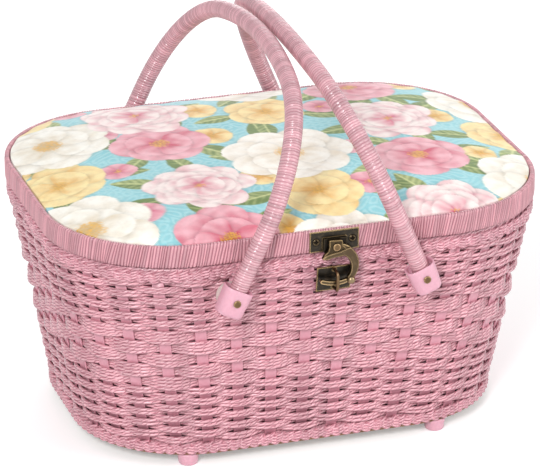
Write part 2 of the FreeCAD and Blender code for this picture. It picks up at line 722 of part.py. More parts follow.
rim = new_body("lid_rim")
ring = pad(rim, RIM_LOW, "rim_height", rim_outline("0"), rim_outline("rim_thickness"))
round_edges(rim, ring, "rim_round", lambda e: True)
node(cut("LidRim", rim, rim_drills), "lid_rim")

LID_BOARD = f"({RIM_TOP} - lid_board_drop - lid_board_thickness)"
INNER = "rim_thickness + fit_gap"
lid_board = new_body("lid_board")
pad(lid_board, LID_BOARD, "lid_board_thickness", rim_outline(INNER))
node(lid_board, "lid_board")

lid_lining = new_body("lid_lining")
pad(lid_lining, f"{LID_BOARD} - lid_lining_thickness", "lid_lining_thickness",
    rim_outline(f"{INNER} + lid_gap"))
node(lid_lining, "lid_lining")

pad_low = f"{LID_BOARD} + lid_board_thickness"
lid_pad = new_body("lid_pad")
loft(lid_pad, "AdditiveLoft", [
    (pad_low, rim_outline(INNER)),
    (RIM_TOP, rim_outline(INNER)),
    (f"{RIM_TOP} + pad_crown * 0.5", rim_outline(f"{INNER} + pad_shoulder")),
    (f"{RIM_TOP} + pad_crown * 0.85", rim_outline(f"{INNER} + (pad_shoulder + pad_inset) / 2")),
    (f"{RIM_TOP} + pad_crown", rim_outline(f"{INNER} + pad_inset")),
])
node(lid_pad, "lid_pad")


# Bail handles: a wound rod bent to an arch, its ends in moulded sockets that turn on the rivets

doc.recompute()
rod_y = washers[0].Base.Placement.Base.y
rod_y = abs(rod_y) + mm["washer_thickness"] + mm["run_gap"] + mm["socket_depth"] / 2
rod_start = mm["rivet_radius"] + mm["socket_wall"] + mm["fit_gap"]


def bow_path():
    """Upright arch in YZ about its pivot line: legs, two shoulder arcs and a flatter top arc."""
    leg = mm["bow_leg"]
    rise = mm["bow_height"] - leg
    shoulder = rise - mm["bow_crown"]
    inner = rod_y - shoulder
    crown = (inner ** 2 + rise ** 2 - shoulder ** 2) / (2 * (rise - shoulder))
    crown_z = mm["bow_height"] - crown
    turn = math.atan2(leg - crown_z, inner)

    def shoulder_point(side, angle):
        return Vector(0, side * (inner + shoulder * math.cos(angle)), leg + shoulder * math.sin(angle))

    front, back = (Vector(0, side * rod_y, rod_start) for side in (-1, 1))
    edges = [
        Part.makeLine(front, shoulder_point(-1, 0)),
        Part.Arc(shoulder_point(-1, 0), shoulder_point(-1, turn / 2), shoulder_point(-1, turn)).toShape(),
        Part.Arc(shoulder_point(-1, turn), Vector(0, 0, mm["bow_height"]), shoulder_point(1, turn)).toShape(),
        Part.Arc(shoulder_point(1, turn), shoulder_point(1, turn / 2), shoulder_point(1, 0)).toShape(),
        Part.makeLine(shoulder_point(1, 0), back),
    ]
    return Part.Wire(edges)


def bow_rod(radius):
    section = Part.Wire(Part.makeCircle(radius, Vector(0, -rod_y, rod_start), Vector(0, 0, 1)))
    return bow_path().makePipeShell([section], True, False)


def socket(side_y):
    """A tapered cup with rounded corners, solid round its rivet and open above it for the rod."""
    body = new_body("socket")
    guess = (mm["socket_width"], mm["socket_depth"], mm["socket_corner"])

    def section(width, inset):
        return f"{width} - 2 * {inset}", f"socket_depth - 2 * {inset}", f"socket_corner - {inset}"

    loft(body, "AdditiveLoft", [
        ("-socket_below", section("socket_foot_width", "socket_round")),
        ("-socket_below + 0.3 * socket_round", section("socket_foot_width", "0.3 * socket_round")),
        ("-socket_below + socket_round", section("socket_foot_width", "0")),
        ("socket_above", section("socket_width", "0")),
    ], guess=guess)
    bore = flat_sketch(body, "socket_above")
    mouth = ("socket_width - 2 * socket_wall", "2 * (rod_radius + fit_gap)", "socket_corner - socket_wall / 2")
    rounded_rect(bore, mouth,
                 (mm["socket_width"] - 4, mm["socket_depth"] - 3, mm["socket_corner"] - 1))
    pocket = body.newObject("PartDesign::Pocket", "Bore")
    pocket.Profile = bore
    bind(pocket, Length="socket_above - rivet_radius - socket_wall")
    body.Placement = Placement(Vector(0, side_y * rod_y, 0), Rotation())
    drill = bar("SocketDrill", "rivet_radius + run_gap", "2 * socket_depth", "0", "0", "0", side_y)
    drill.setExpression("Placement.Base.y", None)
    drill.Placement.Base = Vector(0, side_y * (rod_y - mm["socket_depth"]), 0)
    return cut("Socket", body, [drill])


for label, side_x, rivet in (("left", -1, rivets[0]), ("right", 1, rivets[2])):
    pivot_x = abs(rivet.Shapes[0].Placement.Base.x)
    tilt = math.asin((pivot_x - mm["rod_radius"] - mm["bow_gap"] / 2) / mm["bow_height"])
    stand = Placement(Vector(side_x * pivot_x, 0, pivot_z), Rotation(Vector(0, -side_x, 0), math.degrees(tilt)))
    core = solid(label.title() + "Core", bow_rod(mm["core_radius"]))
    winding = solid(label.title() + "Winding", bow_rod(mm["rod_radius"]).cut(bow_rod(mm["core_radius"])))
    sockets = group(label.title() + "Sockets", [socket(-1), socket(1)])
    for thing, name in ((core, "bow_core"), (winding, "bow_winding"), (sockets, "sockets")):
        thing.Placement = stand
        node(thing, f"{label}_{name}")
    print(label, "bow leans", round(math.degrees(tilt), 2), "pivot", stand.Base, "rod y", round(rod_y, 2))


# Checks, then one file for each piece

doc.recompute()
failed = [thing for thing in doc.Objects if "Invalid" in thing.State or "Error" in thing.State]
for thing in failed:
    print("failed:", thing.Name, thing.TypeId, thing.getStatusString())
if failed:
    raise RuntimeError("some features did not build")
os.makedirs("parts", exist_ok=True)
for thing in nodes:
    shape = thing.Shape
    if shape.isNull() or not shape.isValid() or not shape.Solids:
        raise RuntimeError(f"{thing.Label} has no valid solid")
    shape.exportStep(f"parts/{thing.Label}.step")
    box = shape.BoundBox
    print(f"{thing.Label:22s} {len(shape.Solids):3d} solids  {shape.Volume:10.1f} mm3 ",
          [round(v, 1) for v in (box.XMin, box.YMin, box.ZMin, box.XMax, box.YMax, box.ZMax)])
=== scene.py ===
import math

import bpy
import numpy as np
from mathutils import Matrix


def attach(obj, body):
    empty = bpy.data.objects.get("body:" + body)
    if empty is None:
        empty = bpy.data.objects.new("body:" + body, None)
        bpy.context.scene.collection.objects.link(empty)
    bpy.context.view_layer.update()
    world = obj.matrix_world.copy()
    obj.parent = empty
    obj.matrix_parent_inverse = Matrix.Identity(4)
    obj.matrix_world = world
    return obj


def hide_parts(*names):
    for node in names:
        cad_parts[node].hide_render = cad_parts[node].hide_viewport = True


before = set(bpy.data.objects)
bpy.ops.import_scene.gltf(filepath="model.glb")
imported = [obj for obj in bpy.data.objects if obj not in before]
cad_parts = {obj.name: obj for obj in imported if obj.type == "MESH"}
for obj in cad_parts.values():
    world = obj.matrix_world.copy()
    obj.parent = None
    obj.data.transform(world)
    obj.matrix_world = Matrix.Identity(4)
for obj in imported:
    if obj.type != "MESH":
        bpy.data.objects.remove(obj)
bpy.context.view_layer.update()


# Base board: a sheet of hardboard cut to the outline of the foot, which carries the feet and the stakes.
# It is pressed wood fibre, brown and a little mottled, and only its underside shows.
def paint(red, green, blue):
    """A colour written as on a screen, 0 to 255, as the linear numbers that shaders use: the sRGB curve."""
    screen = np.array([red, green, blue]) / 255
    linear = np.where(screen < 0.0404, screen / 12.92, ((screen + 0.055) / 1.055) ** 2.4)
    return (*linear.tolist(), 1.0)


def add(tree, kind, inputs=None, **settings):
    """Adds one shader node and gives its outputs. Inputs go by socket name or number and are values or other
    nodes' sockets."""
    node = tree.nodes.new("ShaderNode" + kind)
    for name, value in settings.items():
        setattr(node, name, value)
    for key, value in (inputs or {}).items():
        if isinstance(value, bpy.types.NodeSocket):
            tree.links.new(value, node.inputs[key])
        else:
            node.inputs[key].default_value = value
    return node.outputs


def calc(operation, *values):
    """One Math node on a socket and up to two more values or sockets."""
    return add(values[0].id_data, "Math", dict(enumerate(values)), operation=operation)[0]


def span(value, low, high, to_low=0.0, to_high=1.0):
    """A socket's value carried straight from one range to another, and held inside it."""
    return add(value.id_data, "MapRange", {"Value": value, "From Min": low, "From Max": high,
                                           "To Min": to_low, "To Max": to_high})[0]


def noise(place, scale, detail, rough=0.5):
    """Cloudy noise from 0 to 1, with a scale in clouds to the unit of place."""
    return add(place.id_data, "TexNoise", {"Vector": place, "Scale": scale, "Detail": detail,
                                           "Roughness": rough})["Fac"]


def mixed(share, none, full):
    """Two colours mixed by a share: none at 0, full at 1."""
    return add(share.id_data, "Mix", {0: share, 6: none, 7: full}, data_type="RGBA")[2]


def effect(name, colours, values):
    """A new shader node group that takes the named colours and values, and gives a colour, a roughness and a
    height. Comes with the sockets that it takes and its Object coordinates."""
    tree = bpy.data.node_groups.new(name, "ShaderNodeTree")
    for way, kind, labels in (("INPUT", "Color", colours), ("INPUT", "Float", values),
                              ("OUTPUT", "Color", ("Colour",)), ("OUTPUT", "Float", ("Roughness", "Height"))):
        for label in labels:
            tree.interface.new_socket(label, in_out=way, socket_type="NodeSocket" + kind)
    return tree, tree.nodes.new("NodeGroupInput").outputs, add(tree, "TexCoord")["Object"]


def given(tree, *results):
    """Ends a group with its colour, roughness and height."""
    for result, socket in zip(results, tree.nodes.new("NodeGroupOutput").inputs):
        tree.links.new(result, socket)
    return tree


def finish(name, **plain):
    """A new material with one Principled shader, whose plain sockets are set by name."""
    made = bpy.data.materials.new(name)
    made.use_nodes = True
    sockets = made.node_tree.nodes["Principled BSDF"].inputs
    for key, value in plain.items():
        sockets[key.replace("_", " ")].default_value = value
    return made, made.node_tree, sockets


def lay(tree, sockets, group, inputs, strength, depth, rough=True):
    """Places a group in a material with the material's own values: its colour, its roughness unless that is
    plain, and its height as a bump of the given depth in metres."""
    out = add(tree, "Group", inputs, node_tree=group)
    relief = add(tree, "Bump", {"Height": out["Height"], "Strength": strength, "Distance": depth})
    tree.links.new(out["Colour"], sockets["Base Color"])
    tree.links.new(relief[0], sockets["Normal"])
    if rough:
        tree.links.new(out["Roughness"], sockets["Roughness"])


def mottled_group():
    """Two colours mixed by cloudy noise on Object coordinates, with a fine grain as height."""
    tree, take, place = effect("mottled", ("Light", "Dark"), ("Cloud", "Grain"))
    cloud = noise(place, take["Cloud"], 5.0)
    grain = noise(place, take["Grain"], 3.0)
    share = span(calc("MULTIPLY", cloud, grain), 0.1, 0.42)
    colour = mixed(share, take["Dark"], take["Light"])
    return given(tree, colour, span(cloud, 0.0, 1.0, 0.4, 0.7), grain)


def mottled_finish(name, light, dark, cloud, grain, depth, **plain):
    """A material whose colour, bump and, unless it is plain, roughness come from the mottled group."""
    made, tree, sockets = finish(name, **plain)
    lay(tree, sockets, MOTTLED, {"Light": paint(*light), "Dark": paint(*dark), "Cloud": cloud, "Grain": grain},
        0.5, depth, "Roughness" not in plain)
    return made


def dress(node, material):
    """Gives a CAD node, whose shape stays, a better material."""
    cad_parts[node].data.materials.clear()
    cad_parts[node].data.materials.append(material)


MOTTLED = mottled_group()
hardboard = mottled_finish("hardboard", (150, 112, 80), (104, 72, 48), cloud=40.0, grain=900.0, depth=0.0004)
dress("base_board", hardboard)


# Foot border: three strands of three paper cords each, plaited round the foot, over the board's edge.
# The ends of the stakes and the lowest row are tucked behind it.
FOOT, MOUTH = 7.6, 145.2
PLAIT_LONG = 995.0
PLAIT_SIDES = 8
CORE_SIDES, CORE_COLUMNS = 16, 240
TWISTED = {"Pitch": 5.0, "Plies": 3.0, "Slack": 1.6}


def wall(height, inset=0.0):
    """Half length, half width and corner radius of the tapering basket at a height in mm, moved in by inset:
    each grows evenly from the foot to the mouth."""
    share = (height - FOOT) / (MOUTH - FOOT)
    return 139.2 + 23.0 * share - inset, 100.6 + 23.6 * share - inset, 75.5 + 7.7 * share - inset


def follow(distance, runs, start, heading):
    """Walks straight runs and arcs, each a length and a curvature. A run's part that is walked is a chord: its
    length times sin(turn / 2) / (turn / 2), in the direction half way through the turn. The chords add up."""
    x, y = start
    for length, curve in runs:
        walked = np.clip(distance, 0, length)
        turn = walked * curve
        chord = walked * np.sinc(turn / 2 / np.pi)
        x = x + chord * np.cos(heading + turn / 2)
        y = y + chord * np.sin(heading + turn / 2)
        heading = heading + turn
        distance = distance - length
    return x, y, heading


def oval(sizes, share):
    """Point and heading on a rounded rectangle, a share of the way round from the middle of the front."""
    long, wide, corner = sizes
    side, end, bend = long - corner, wide - corner, (np.pi / 2 * corner, 1 / corner)
    runs = [(side, 0), bend, (2 * end, 0), bend, (2 * side, 0), bend, (2 * end, 0), bend, (side, 0)]
    around = 4 * (side + end + bend[0])
    return follow(share * around, runs, (0.0, -wide), 0.0)


def xyz(x, y, z):
    """Points from coordinates, which are spread to one shape."""
    return np.stack(np.broadcast_arrays(x, y, z), -1)


def hoop(sizes, height, share, proud=0.0):
    """Points in mm on a rounded rectangle at a height, pushed out by proud along the outline's normal."""
    x, y, heading = oval(sizes, share)
    return xyz(x + proud * np.sin(heading), y - proud * np.cos(heading), height)


def shares(count):
    """Even shares of one way round, from 0."""
    return np.arange(count) / count


def tube(path, across, upright, sides):
    """An ellipse carried along a closed path: path + across cos(a) side + upright sin(a) top, where side is
    level and square to the path and top is square to both."""
    ahead = np.roll(path, -1, -2) - np.roll(path, 1, -2)
    side = np.cross(ahead, (0.0, 0.0, 1.0))
    side = side / np.linalg.norm(side, axis=-1, keepdims=True)
    top = np.cross(side, ahead)
    top = top / np.linalg.norm(top, axis=-1, keepdims=True)
    turn = 2 * np.pi * shares(sides)[:, None]
    return (path[..., None, :] + across * np.cos(turn) * side[..., None, :]
            + upright * np.sin(turn) * top[..., None, :])


def surface(name, points, closed=(False, True), along=0.0, around=0.0, caps=False, flip=False):
    """A mesh in metres from one or more grids of points in mm: quads between neighbouring rows and columns,
    wrapped where closed, flat caps on the first and last row if asked. A closed shell whose signed volume is
    negative is turned round. UV runs from 0 to along down the rows and from 0 to around over the columns."""
    grid = np.asarray(points, float)
    grid = grid.reshape(-1, *grid.shape[-3:])
    count, rows, columns = grid.shape[:3]
    row, column = np.meshgrid(np.arange(rows - (not closed[0])), np.arange(columns - (not closed[1])),
                              indexing="ij")
    steps = ((0, 0), (0, 1), (1, 1), (1, 0))
    if flip:
        steps = steps[::-1]
    corners = [(row + i) % rows * columns + (column + j) % columns for i, j in steps]
    first = np.arange(count)[:, None, None] * rows * columns
    flat = grid.reshape(-1, 3) * 0.001
    quads = (np.stack(corners, -1).reshape(-1, 4) + first).reshape(-1, 4)
    rings = np.zeros((0, columns), int)
    if caps:
        ends = np.stack([np.arange(columns)[::-1], (rows - 1) * columns + np.arange(columns)])
        rings = (ends[:, ::-1] if flip else ends) + first
        rings = rings.reshape(-1, columns)
    if caps or all(closed):
        a, b, c, d = (flat[quads[:, k]] for k in range(4))
        size = np.sum(a * np.cross(b, c)) + np.sum(a * np.cross(c, d))
        for ring in rings:
            fan = flat[ring]
            size += np.sum(fan[0] * np.cross(fan[1:-1], fan[2:]))
        if size < 0:
            return surface(name, points, closed, along, around, caps, not flip)
    mesh = bpy.data.meshes.new(name)
    mesh.vertices.add(len(flat))
    mesh.vertices.foreach_set("co", flat.ravel())
    loops = np.concatenate([quads.ravel(), rings.ravel()])
    mesh.loops.add(len(loops))
    mesh.loops.foreach_set("vertex_index", loops)
    starts = np.concatenate([np.arange(len(quads)) * 4, len(quads) * 4 + np.arange(len(rings)) * columns])
    mesh.polygons.add(len(starts))
    mesh.polygons.foreach_set("loop_start", starts)
    mesh.polygons.foreach_set("use_smooth", np.ones(len(starts), bool))
    if along:
        u = np.stack([along * (row + i) / (rows - (not closed[0])) for i, j in steps], -1)
        v = np.stack([around * (column + j) / (columns - (not closed[1])) for i, j in steps], -1)
        side = np.tile(np.stack([u, v], -1).reshape(-1, 2), (count, 1))
        uv = np.concatenate([side, np.zeros((rings.size, 2))])
        mesh.uv_layers.new(name="UVMap").data.foreach_set("uv", uv.ravel())
    mesh.update(calc_edges=True)
    mesh.validate()
    return mesh


def placed(name, data):
    """A new object in the scene."""
    thing = bpy.data.objects.new(name, data)
    bpy.context.scene.collection.objects.link(thing)
    return thing


def joined(name, meshes):
    """Several meshes as one, with their UVs kept."""
    things = [placed(name, mesh) for mesh in meshes]
    with bpy.context.temp_override(active_object=things[0], selected_editable_objects=things):
        bpy.ops.object.join()
    whole = things[0].data
    bpy.data.objects.remove(things[0])
    whole.name = name
    return whole


def piece(mesh, material, body, slot, *nodes):
    """Puts a finished mesh into the scene: its material, the body it rides on and the CAD nodes that it stands
    for.
    The slot is not used."""
    thing = placed(mesh.name, mesh)
    mesh.materials.clear()
    mesh.materials.append(material)
    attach(thing, body)
    if nodes:
        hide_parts(*nodes)
    return thing


def yarn_group():
    """Twisted paper yarn. Along (mm) and Around (0 to 1) come from UV. The plies are |sin(pi phase)| with
    phase = along / pitch - plies around + slack noise. Each whole phase, which is one ply, has a tone of its
    own, and fibres are noise drawn out along the phase."""
    tree, take, place = effect("twisted_yarn", ("Colour", "Groove Shade"), (
        "Along", "Around", "Pitch", "Plies", "Slack", "Gloss", "Faded"))
    turn = calc("MULTIPLY", take["Around"], take["Plies"])
    even = calc("SUBTRACT", calc("DIVIDE", take["Along"], take["Pitch"]), turn)
    phase = calc("MULTIPLY_ADD", noise(place, 260.0, 1.0), take["Slack"], even)
    own = add(tree, "TexWhiteNoise", {"W": calc("FLOOR", phase)}, noise_dimensions="1D")["Value"]
    wave = calc("SINE", calc("MULTIPLY", phase, math.pi))
    ply = calc("POWER", calc("ABSOLUTE", wave), 0.6)
    drawn = add(tree, "CombineXYZ", {0: phase, 1: take["Around"]})[0]
    stretch = add(tree, "Mapping", {"Vector": drawn, "Scale": (9.0, 1.6, 1.0)})[0]
    fibre = noise(stretch, 1.0, 4.0, 0.7)
    share = calc("MULTIPLY", span(ply, 0.25, 0.95), span(fibre, 0.3, 0.72, 0.5, 1.0))
    # Painted shade: the colour goes from the plies' own colour to the darker groove shade colour in the grooves
    # between plies and between wraps.
    base = mixed(share, take["Groove Shade"], take["Colour"])
    batch = span(noise(place, 55.0, 2.0), 0.3, 0.7, 0.92, 1.06)
    tone = calc("MULTIPLY", batch, span(own, 0.0, 1.0, take["Faded"], 1.12))
    colour = add(tree, "HueSaturation", {"Value": tone, "Color": base})[0]
    rough = calc("MULTIPLY_ADD", fibre, 0.28, take["Gloss"])
    return given(tree, colour, rough, calc("MULTIPLY_ADD", fibre, 0.35, ply))


YARN = yarn_group()


def yarn_finish(name, colour, groove_shade, twist, gloss, faded, depth):
    """A paper yarn material: the twisted yarn group on its own UV, a satin gloss and painted shade in the
    grooves.
    """
    made, tree, sockets = finish(name, Specular_IOR_Level=0.8)
    spread = add(tree, "SeparateXYZ", {0: add(tree, "UVMap", uv_map="UVMap")[0]})
    lay(tree, sockets, YARN, {"Colour": paint(*colour), "Groove Shade": paint(*groove_shade), "Along": spread[0],
                              "Around": spread[1], **twist, "Gloss": gloss, "Faded": faded}, 0.7, depth)
    return made


def plait(name, sizes, height, tall, depth, repeats, cord, steps):
    """A three-strand plait round a rounded rectangle. With phase = 2 pi repeats share + 2 pi k / 3, strand k
    goes up and down by sin(phase) and in and out by sin(2 phase); each strand is three cords side by side."""
    share = shares(steps)
    phase = 2 * np.pi * (repeats * share + np.arange(3)[:, None] / 3)
    beside = np.array([-1, 0, 1])[:, None, None] * cord * 0.92
    lift = (tall - 2.8 * cord) / 2 * np.sin(phase) + beside
    push = (depth - cord) / 2 * np.sin(2 * phase) - 0.1 * np.abs(beside)
    path = hoop(sizes, height + lift, share, push)
    return surface(name, tube(path, cord * 0.55, cord / 2, PLAIT_SIDES), (True, True), PLAIT_LONG, 1.0)


def core_band(name, sizes, low, high, inset, deep):
    """The padding under a plait: a rounded rectangular section, a superellipse of power 4, carried round."""
    turn = 2 * np.pi * shares(CORE_SIDES)[:, None]
    reach = (np.cos(turn) ** 4 + np.sin(turn) ** 4) ** -0.25
    height = (low + high) / 2 + (high - low) / 2 * reach * np.sin(turn)
    proud = -inset - deep / 2 + deep / 2 * reach * np.cos(turn)
    points = hoop(sizes, height, shares(CORE_COLUMNS), proud)
    return surface(name, points, (True, True), along=48.0, around=80.0)


plait_yarn = yarn_finish("plait_yarn", (234, 182, 191), (174, 100, 118), TWISTED, gloss=0.16, faded=0.84,
                         depth=0.0002)
foot_plait = joined("foot_border_plait", [
    plait("foot_plait", wall(FOOT, 3.2), height=12.0, tall=8.0, depth=5.2, repeats=40, cord=2.05, steps=1120),
    core_band("foot_core", wall(FOOT), low=8.2, high=16.0, inset=4.2, deep=6.6)])
piece(foot_plait, plait_yarn, "basket", "border_cord", "foot_border")


# Feet: four small moulded studs, each held to the base board by a brass screw from inside.
# They are pink plastic with a worn, slightly scuffed sole.
FOOT_X, FOOT_Y = 82.0, 90.0
FOOT_SIDES = 28
FOOT_PROFILE = [(1.0, 0.0), (4.6, 0.0), (5.7, 0.35), (6.2, 1.3), (6.5, 4.0), (6.9, 6.8), (7.0, FOOT),
                (2.2, FOOT)]


def turned(profile, sides):
    """Pairs (radius, height) turned about the upright axis: radius cos(a), radius sin(a), height."""
    radius, height = np.array(profile, float).T[:, :, None]
    turn = 2 * np.pi * shares(sides)
    return xyz(radius * np.cos(turn), radius * np.sin(turn), height)


candy = mottled_finish("moulded_pink", (222, 170, 185), (212, 157, 173), cloud=30.0, grain=700.0,
                       depth=0.00006, Roughness=0.36, Coat_Weight=0.06, Subsurface_Weight=0.12,
                       Subsurface_Radius=(0.004, 0.0015, 0.002), Subsurface_Scale=1.0)
foot_places = np.array([[x, y, 0.0] for x in (-FOOT_X, FOOT_X) for y in (-FOOT_Y, FOOT_Y)])
feet = surface("rubber_feet", turned(FOOT_PROFILE, FOOT_SIDES) + foot_places[:, None, None, :], caps=True)
piece(feet, candy, "basket", "foot_plastic", "feet")
pale_brass = mottled_finish("pale_brass", (190, 158, 96), (140, 110, 62), cloud=60.0, grain=1500.0,
                            depth=0.00003, Metallic=1.0)
dress("foot_screws", pale_brass)


# Stakes: forty flat strips of pink plastic that stand in the wall, thicker along both edges.
# The weave holds them; their ends are under the two borders.
STAKES = 40
STAKE_WIDE = 7.4
STAKE_LINE = 5.5
STAKE_LEVELS = np.array([11.2, 60.0, 100.0, 140.6])


def stake_strips():
    """Each strip runs straight from its place on the foot outline to that on the mouth outline. Its section is
    a flat oval with a raised bead along both edges, carried along that line."""
    share = (np.arange(STAKES) + 0.5)[:, None] / STAKES
    low, high = (np.stack(oval(wall(z, STAKE_LINE), share[:, 0])[:2], -1) for z in (FOOT, MOUTH))
    climb = ((STAKE_LEVELS - FOOT) / (MOUTH - FOOT))[None, :, None]
    line = low[:, None] * (1 - climb) + high[:, None] * climb
    heading = oval(wall(80.0, STAKE_LINE), share)[2][..., None]
    front = np.array([-1, -0.93, -0.8, -0.66, 0.66, 0.8, 0.93])
    bead = np.array([0, 0.62, 0.62, 0.38, 0.38, 0.62, 0.62])
    width = np.concatenate([front, -front]) * STAKE_WIDE / 2
    thick = np.concatenate([bead, -bead])
    x = line[..., 0:1] + width * np.cos(heading) + thick * np.sin(heading)
    y = line[..., 1:2] + width * np.sin(heading) - thick * np.cos(heading)
    return xyz(x, y, STAKE_LEVELS[:, None])


strip_plastic = mottled_finish("strip_plastic", (216, 156, 170), (204, 142, 156), cloud=25.0,
                               grain=500.0, depth=0.00008, Roughness=0.34, Coat_Weight=0.08)
strips = surface("stake_strips", stake_strips(), caps=True)
piece(strips, strip_plastic, "basket", "stake_plastic", "stakes")


# Woven wall: rows of twisted paper cord, two cords to a row above and below and four in the middle band.
# Each row passes in front of one stake and behind the next, and the next row does the opposite.
ROW, TALL_ROW = 4.0407, 8.4855
CORD_ROUND, CORD_SIDES = 1.2, 10
CORD_SWING = 2.35
CORD_STEPS = 480
CORD_LONG = 900.0


def woven_band(name, low, row_height, first, rows, cords, spread):
    """The cords of a band. At a share s of the way round, with c = cos(pi (40 s - 1/2)), a cord stands
    2.35 |c| ^ 0.8 in front of the stake line or, where c is negative, behind it. The sign changes from row to
    row; in front the cords of a row spread, behind they close up. Seeded sines loosen each cord."""
    rng = np.random.default_rng(4 + first)
    share = shares(CORD_STEPS)
    row = np.repeat(np.arange(rows), cords)[:, None]
    slot = (np.tile(np.arange(cords), rows)[:, None] - (cords - 1) / 2) / cords
    out = -np.cos(np.pi * (STAKES * share - 0.5) + np.pi * (row + first))
    loose = sum(rng.normal(0, 0.5, row.shape) * np.sin(2 * np.pi * (k * share + rng.random(row.shape)))
                for k in (7, 13, 23, 41))
    height = low + row_height * (row + 0.5 + slot * (spread + (spread - 0.87) * out)) + 0.16 * loose
    push = CORD_SWING * np.sign(out) * np.abs(out) ** 0.8 + 0.14 * loose
    line = hoop(wall(low + row_height * (row + 0.5), STAKE_LINE), height, share, push)
    return surface(name, tube(line, CORD_ROUND, CORD_ROUND * 0.98, CORD_SIDES), (True, True), CORD_LONG, 1.0)


weave_yarn = yarn_finish("weave_yarn", (236, 185, 193), (170, 97, 114), TWISTED, gloss=0.13,
                         faded=0.82, depth=0.00028)
for name, low, row_height, first, rows, cords, spread in (
        ("lower_weave", 16.6, ROW, 0, 10, 2, 1.03),
        ("middle_weave", 57.007, TALL_ROW, 10, 5, 4, 0.97),
        ("upper_weave", 99.434, ROW, 15, 9, 2, 1.03)):
    band = woven_band(name + "_cords", low, row_height, first, rows, cords, spread)
    piece(band, weave_yarn, "basket", "weave_cord", name)


# Top border: the same plait as at the foot, round the mouth, over the ends of the stakes.
# The lid's hoop sits down on it.
top_plait = joined("top_border_plait", [
    plait("top_plait", wall(MOUTH, 5.2), height=139.1, tall=8.0, depth=4.8, repeats=44, cord=1.9, steps=1188),
    core_band("top_core", wall(MOUTH), low=136.4, high=144.6, inset=5.6, deep=5.2)])
piece(top_plait, plait_yarn, "basket", "border_cord", "top_border")


# Lining: cotton cloth over card, glued in to cover the inside of the weave, with a covered floor.
# It is plain turquoise, a little gathered along the wall, and the card behind the weave is a pink darkened as
# painted shade, seen in the weave's gaps.
LINING_LOW, LINING_TOP = 10.8, 144.0
LINING_ROWS, LINING_COLUMNS = 20, 720
PILLOW_RINGS, PILLOW_COLUMNS = 24, 240


def cloth_group():
    """Plain woven cloth: threads sin(x) sin(y) + sin(z) high on Object coordinates, with slubs from noise."""
    tree, take, place = effect("plain_cloth", ("Colour",), ("Threads",))
    scaled = add(tree, "VectorMath", {0: place, "Scale": take["Threads"]}, operation="SCALE")[0]
    waves = [calc("SINE", axis) for axis in add(tree, "SeparateXYZ", {0: scaled})]
    threads = calc("MULTIPLY_ADD", *waves)
    slub = noise(place, 420.0, 3.0)
    shade = span(slub, 0.25, 0.75, 0.93, 1.04)
    colour = add(tree, "HueSaturation", {"Value": shade, "Color": take["Colour"]})[0]
    rough = span(slub, 0.0, 1.0, 0.72, 0.92)
    return given(tree, colour, rough, calc("MULTIPLY_ADD", slub, 1.2, threads))


CLOTH = cloth_group()


def cloth_finish(name, dyed, threads, depth):
    """A cotton material: the cloth group over one colour, or over the named colours kept on the mesh, with a
    soft sheen."""
    made, tree, sockets = finish(name, Sheen_Weight=0.3, Sheen_Roughness=0.5, Specular_IOR_Level=0.25)
    printed = isinstance(dyed, str)
    colour = add(tree, "Attribute", attribute_name=dyed)["Color"] if printed else paint(*dyed)
    lay(tree, sockets, CLOTH, {"Colour": colour, "Threads": threads}, 0.4, depth)
    return made


def second_finish(mesh, material, mask):
    """Gives the masked faces of a piece a second material slot."""
    mesh.materials.append(material)
    mesh.polygons.foreach_set("material_index", mask.astype(np.int32))


def lining_shell():
    """A closed shell: up the outside, over a rounded top edge and down the inside. The inside is gathered by
    small upright waves, 90 and 37 to the round, that die away at the top and the floor."""
    up = np.linspace(LINING_LOW, LINING_TOP, LINING_ROWS)
    level = np.concatenate([up, [144.7, 144.9, 144.7], up[::-1]])[:, None]
    outer, inner = np.full(LINING_ROWS, 11.6), np.full(LINING_ROWS, 13.6)
    inset = np.concatenate([outer, [12.0, 12.6, 13.2], inner])[:, None]
    share = shares(LINING_COLUMNS)
    climb = np.clip((level - LINING_LOW) / (LINING_TOP - LINING_LOW), 0, 1)
    inside = (inset > 13.5) * np.sin(np.pi * climb) ** 0.6
    waves = 0.35 * np.sin(2 * np.pi * 90 * share) + 0.25 * np.sin(2 * np.pi * 37 * share + 2.0) - 0.4
    return hoop(wall(level, inset), level, share, inside * waves)


def pillow(sizes, low, high):
    """A flat padded disc on a rounded rectangle: rings shrink to the middle below and above. At a share r of
    the way out the second face stands (high - low) (0.6 + 0.4 sqrt(cos(pi r / 2))) from the first."""
    out = np.linspace(0.02, 1, PILLOW_RINGS)
    shrink = np.concatenate([out, out[::-1]])[:, None]
    upper = np.repeat([0.0, 1.0], PILLOW_RINGS)[:, None]
    swell = (high - low) * upper * (0.6 + 0.4 * np.cos(np.pi / 2 * shrink) ** 0.5)
    flat = hoop(sizes, 0.0, shares(PILLOW_COLUMNS))
    return shrink[..., None] * flat + (low + swell)[..., None] * np.array([0.0, 0.0, 1.0])


lining_cotton = cloth_finish("lining_cotton", (160, 208, 212), threads=5200.0, depth=0.00012)
# Painted shade: the card's pink is made dark, for the shade seen through the gaps of the weave.
card_painted_shade = mottled_finish("lining_card", (120, 66, 80), (92, 48, 60), cloud=30.0, grain=600.0, depth=0.0002)
lining = surface("lining_cloth_wall", lining_shell(), (True, True))
piece(lining, lining_cotton, "basket", "lining_cloth", "lining_wall")
second_finish(lining, card_painted_shade, np.arange(len(lining.polygons)) < (LINING_ROWS - 1) * LINING_COLUMNS)
lining_floor = surface("lining_cloth_floor", pillow(wall(11.8, 13.75), low=LINING_LOW, high=12.8), caps=True)
piece(lining_floor, lining_cotton, "basket", "lining_cloth", "lining_floor")
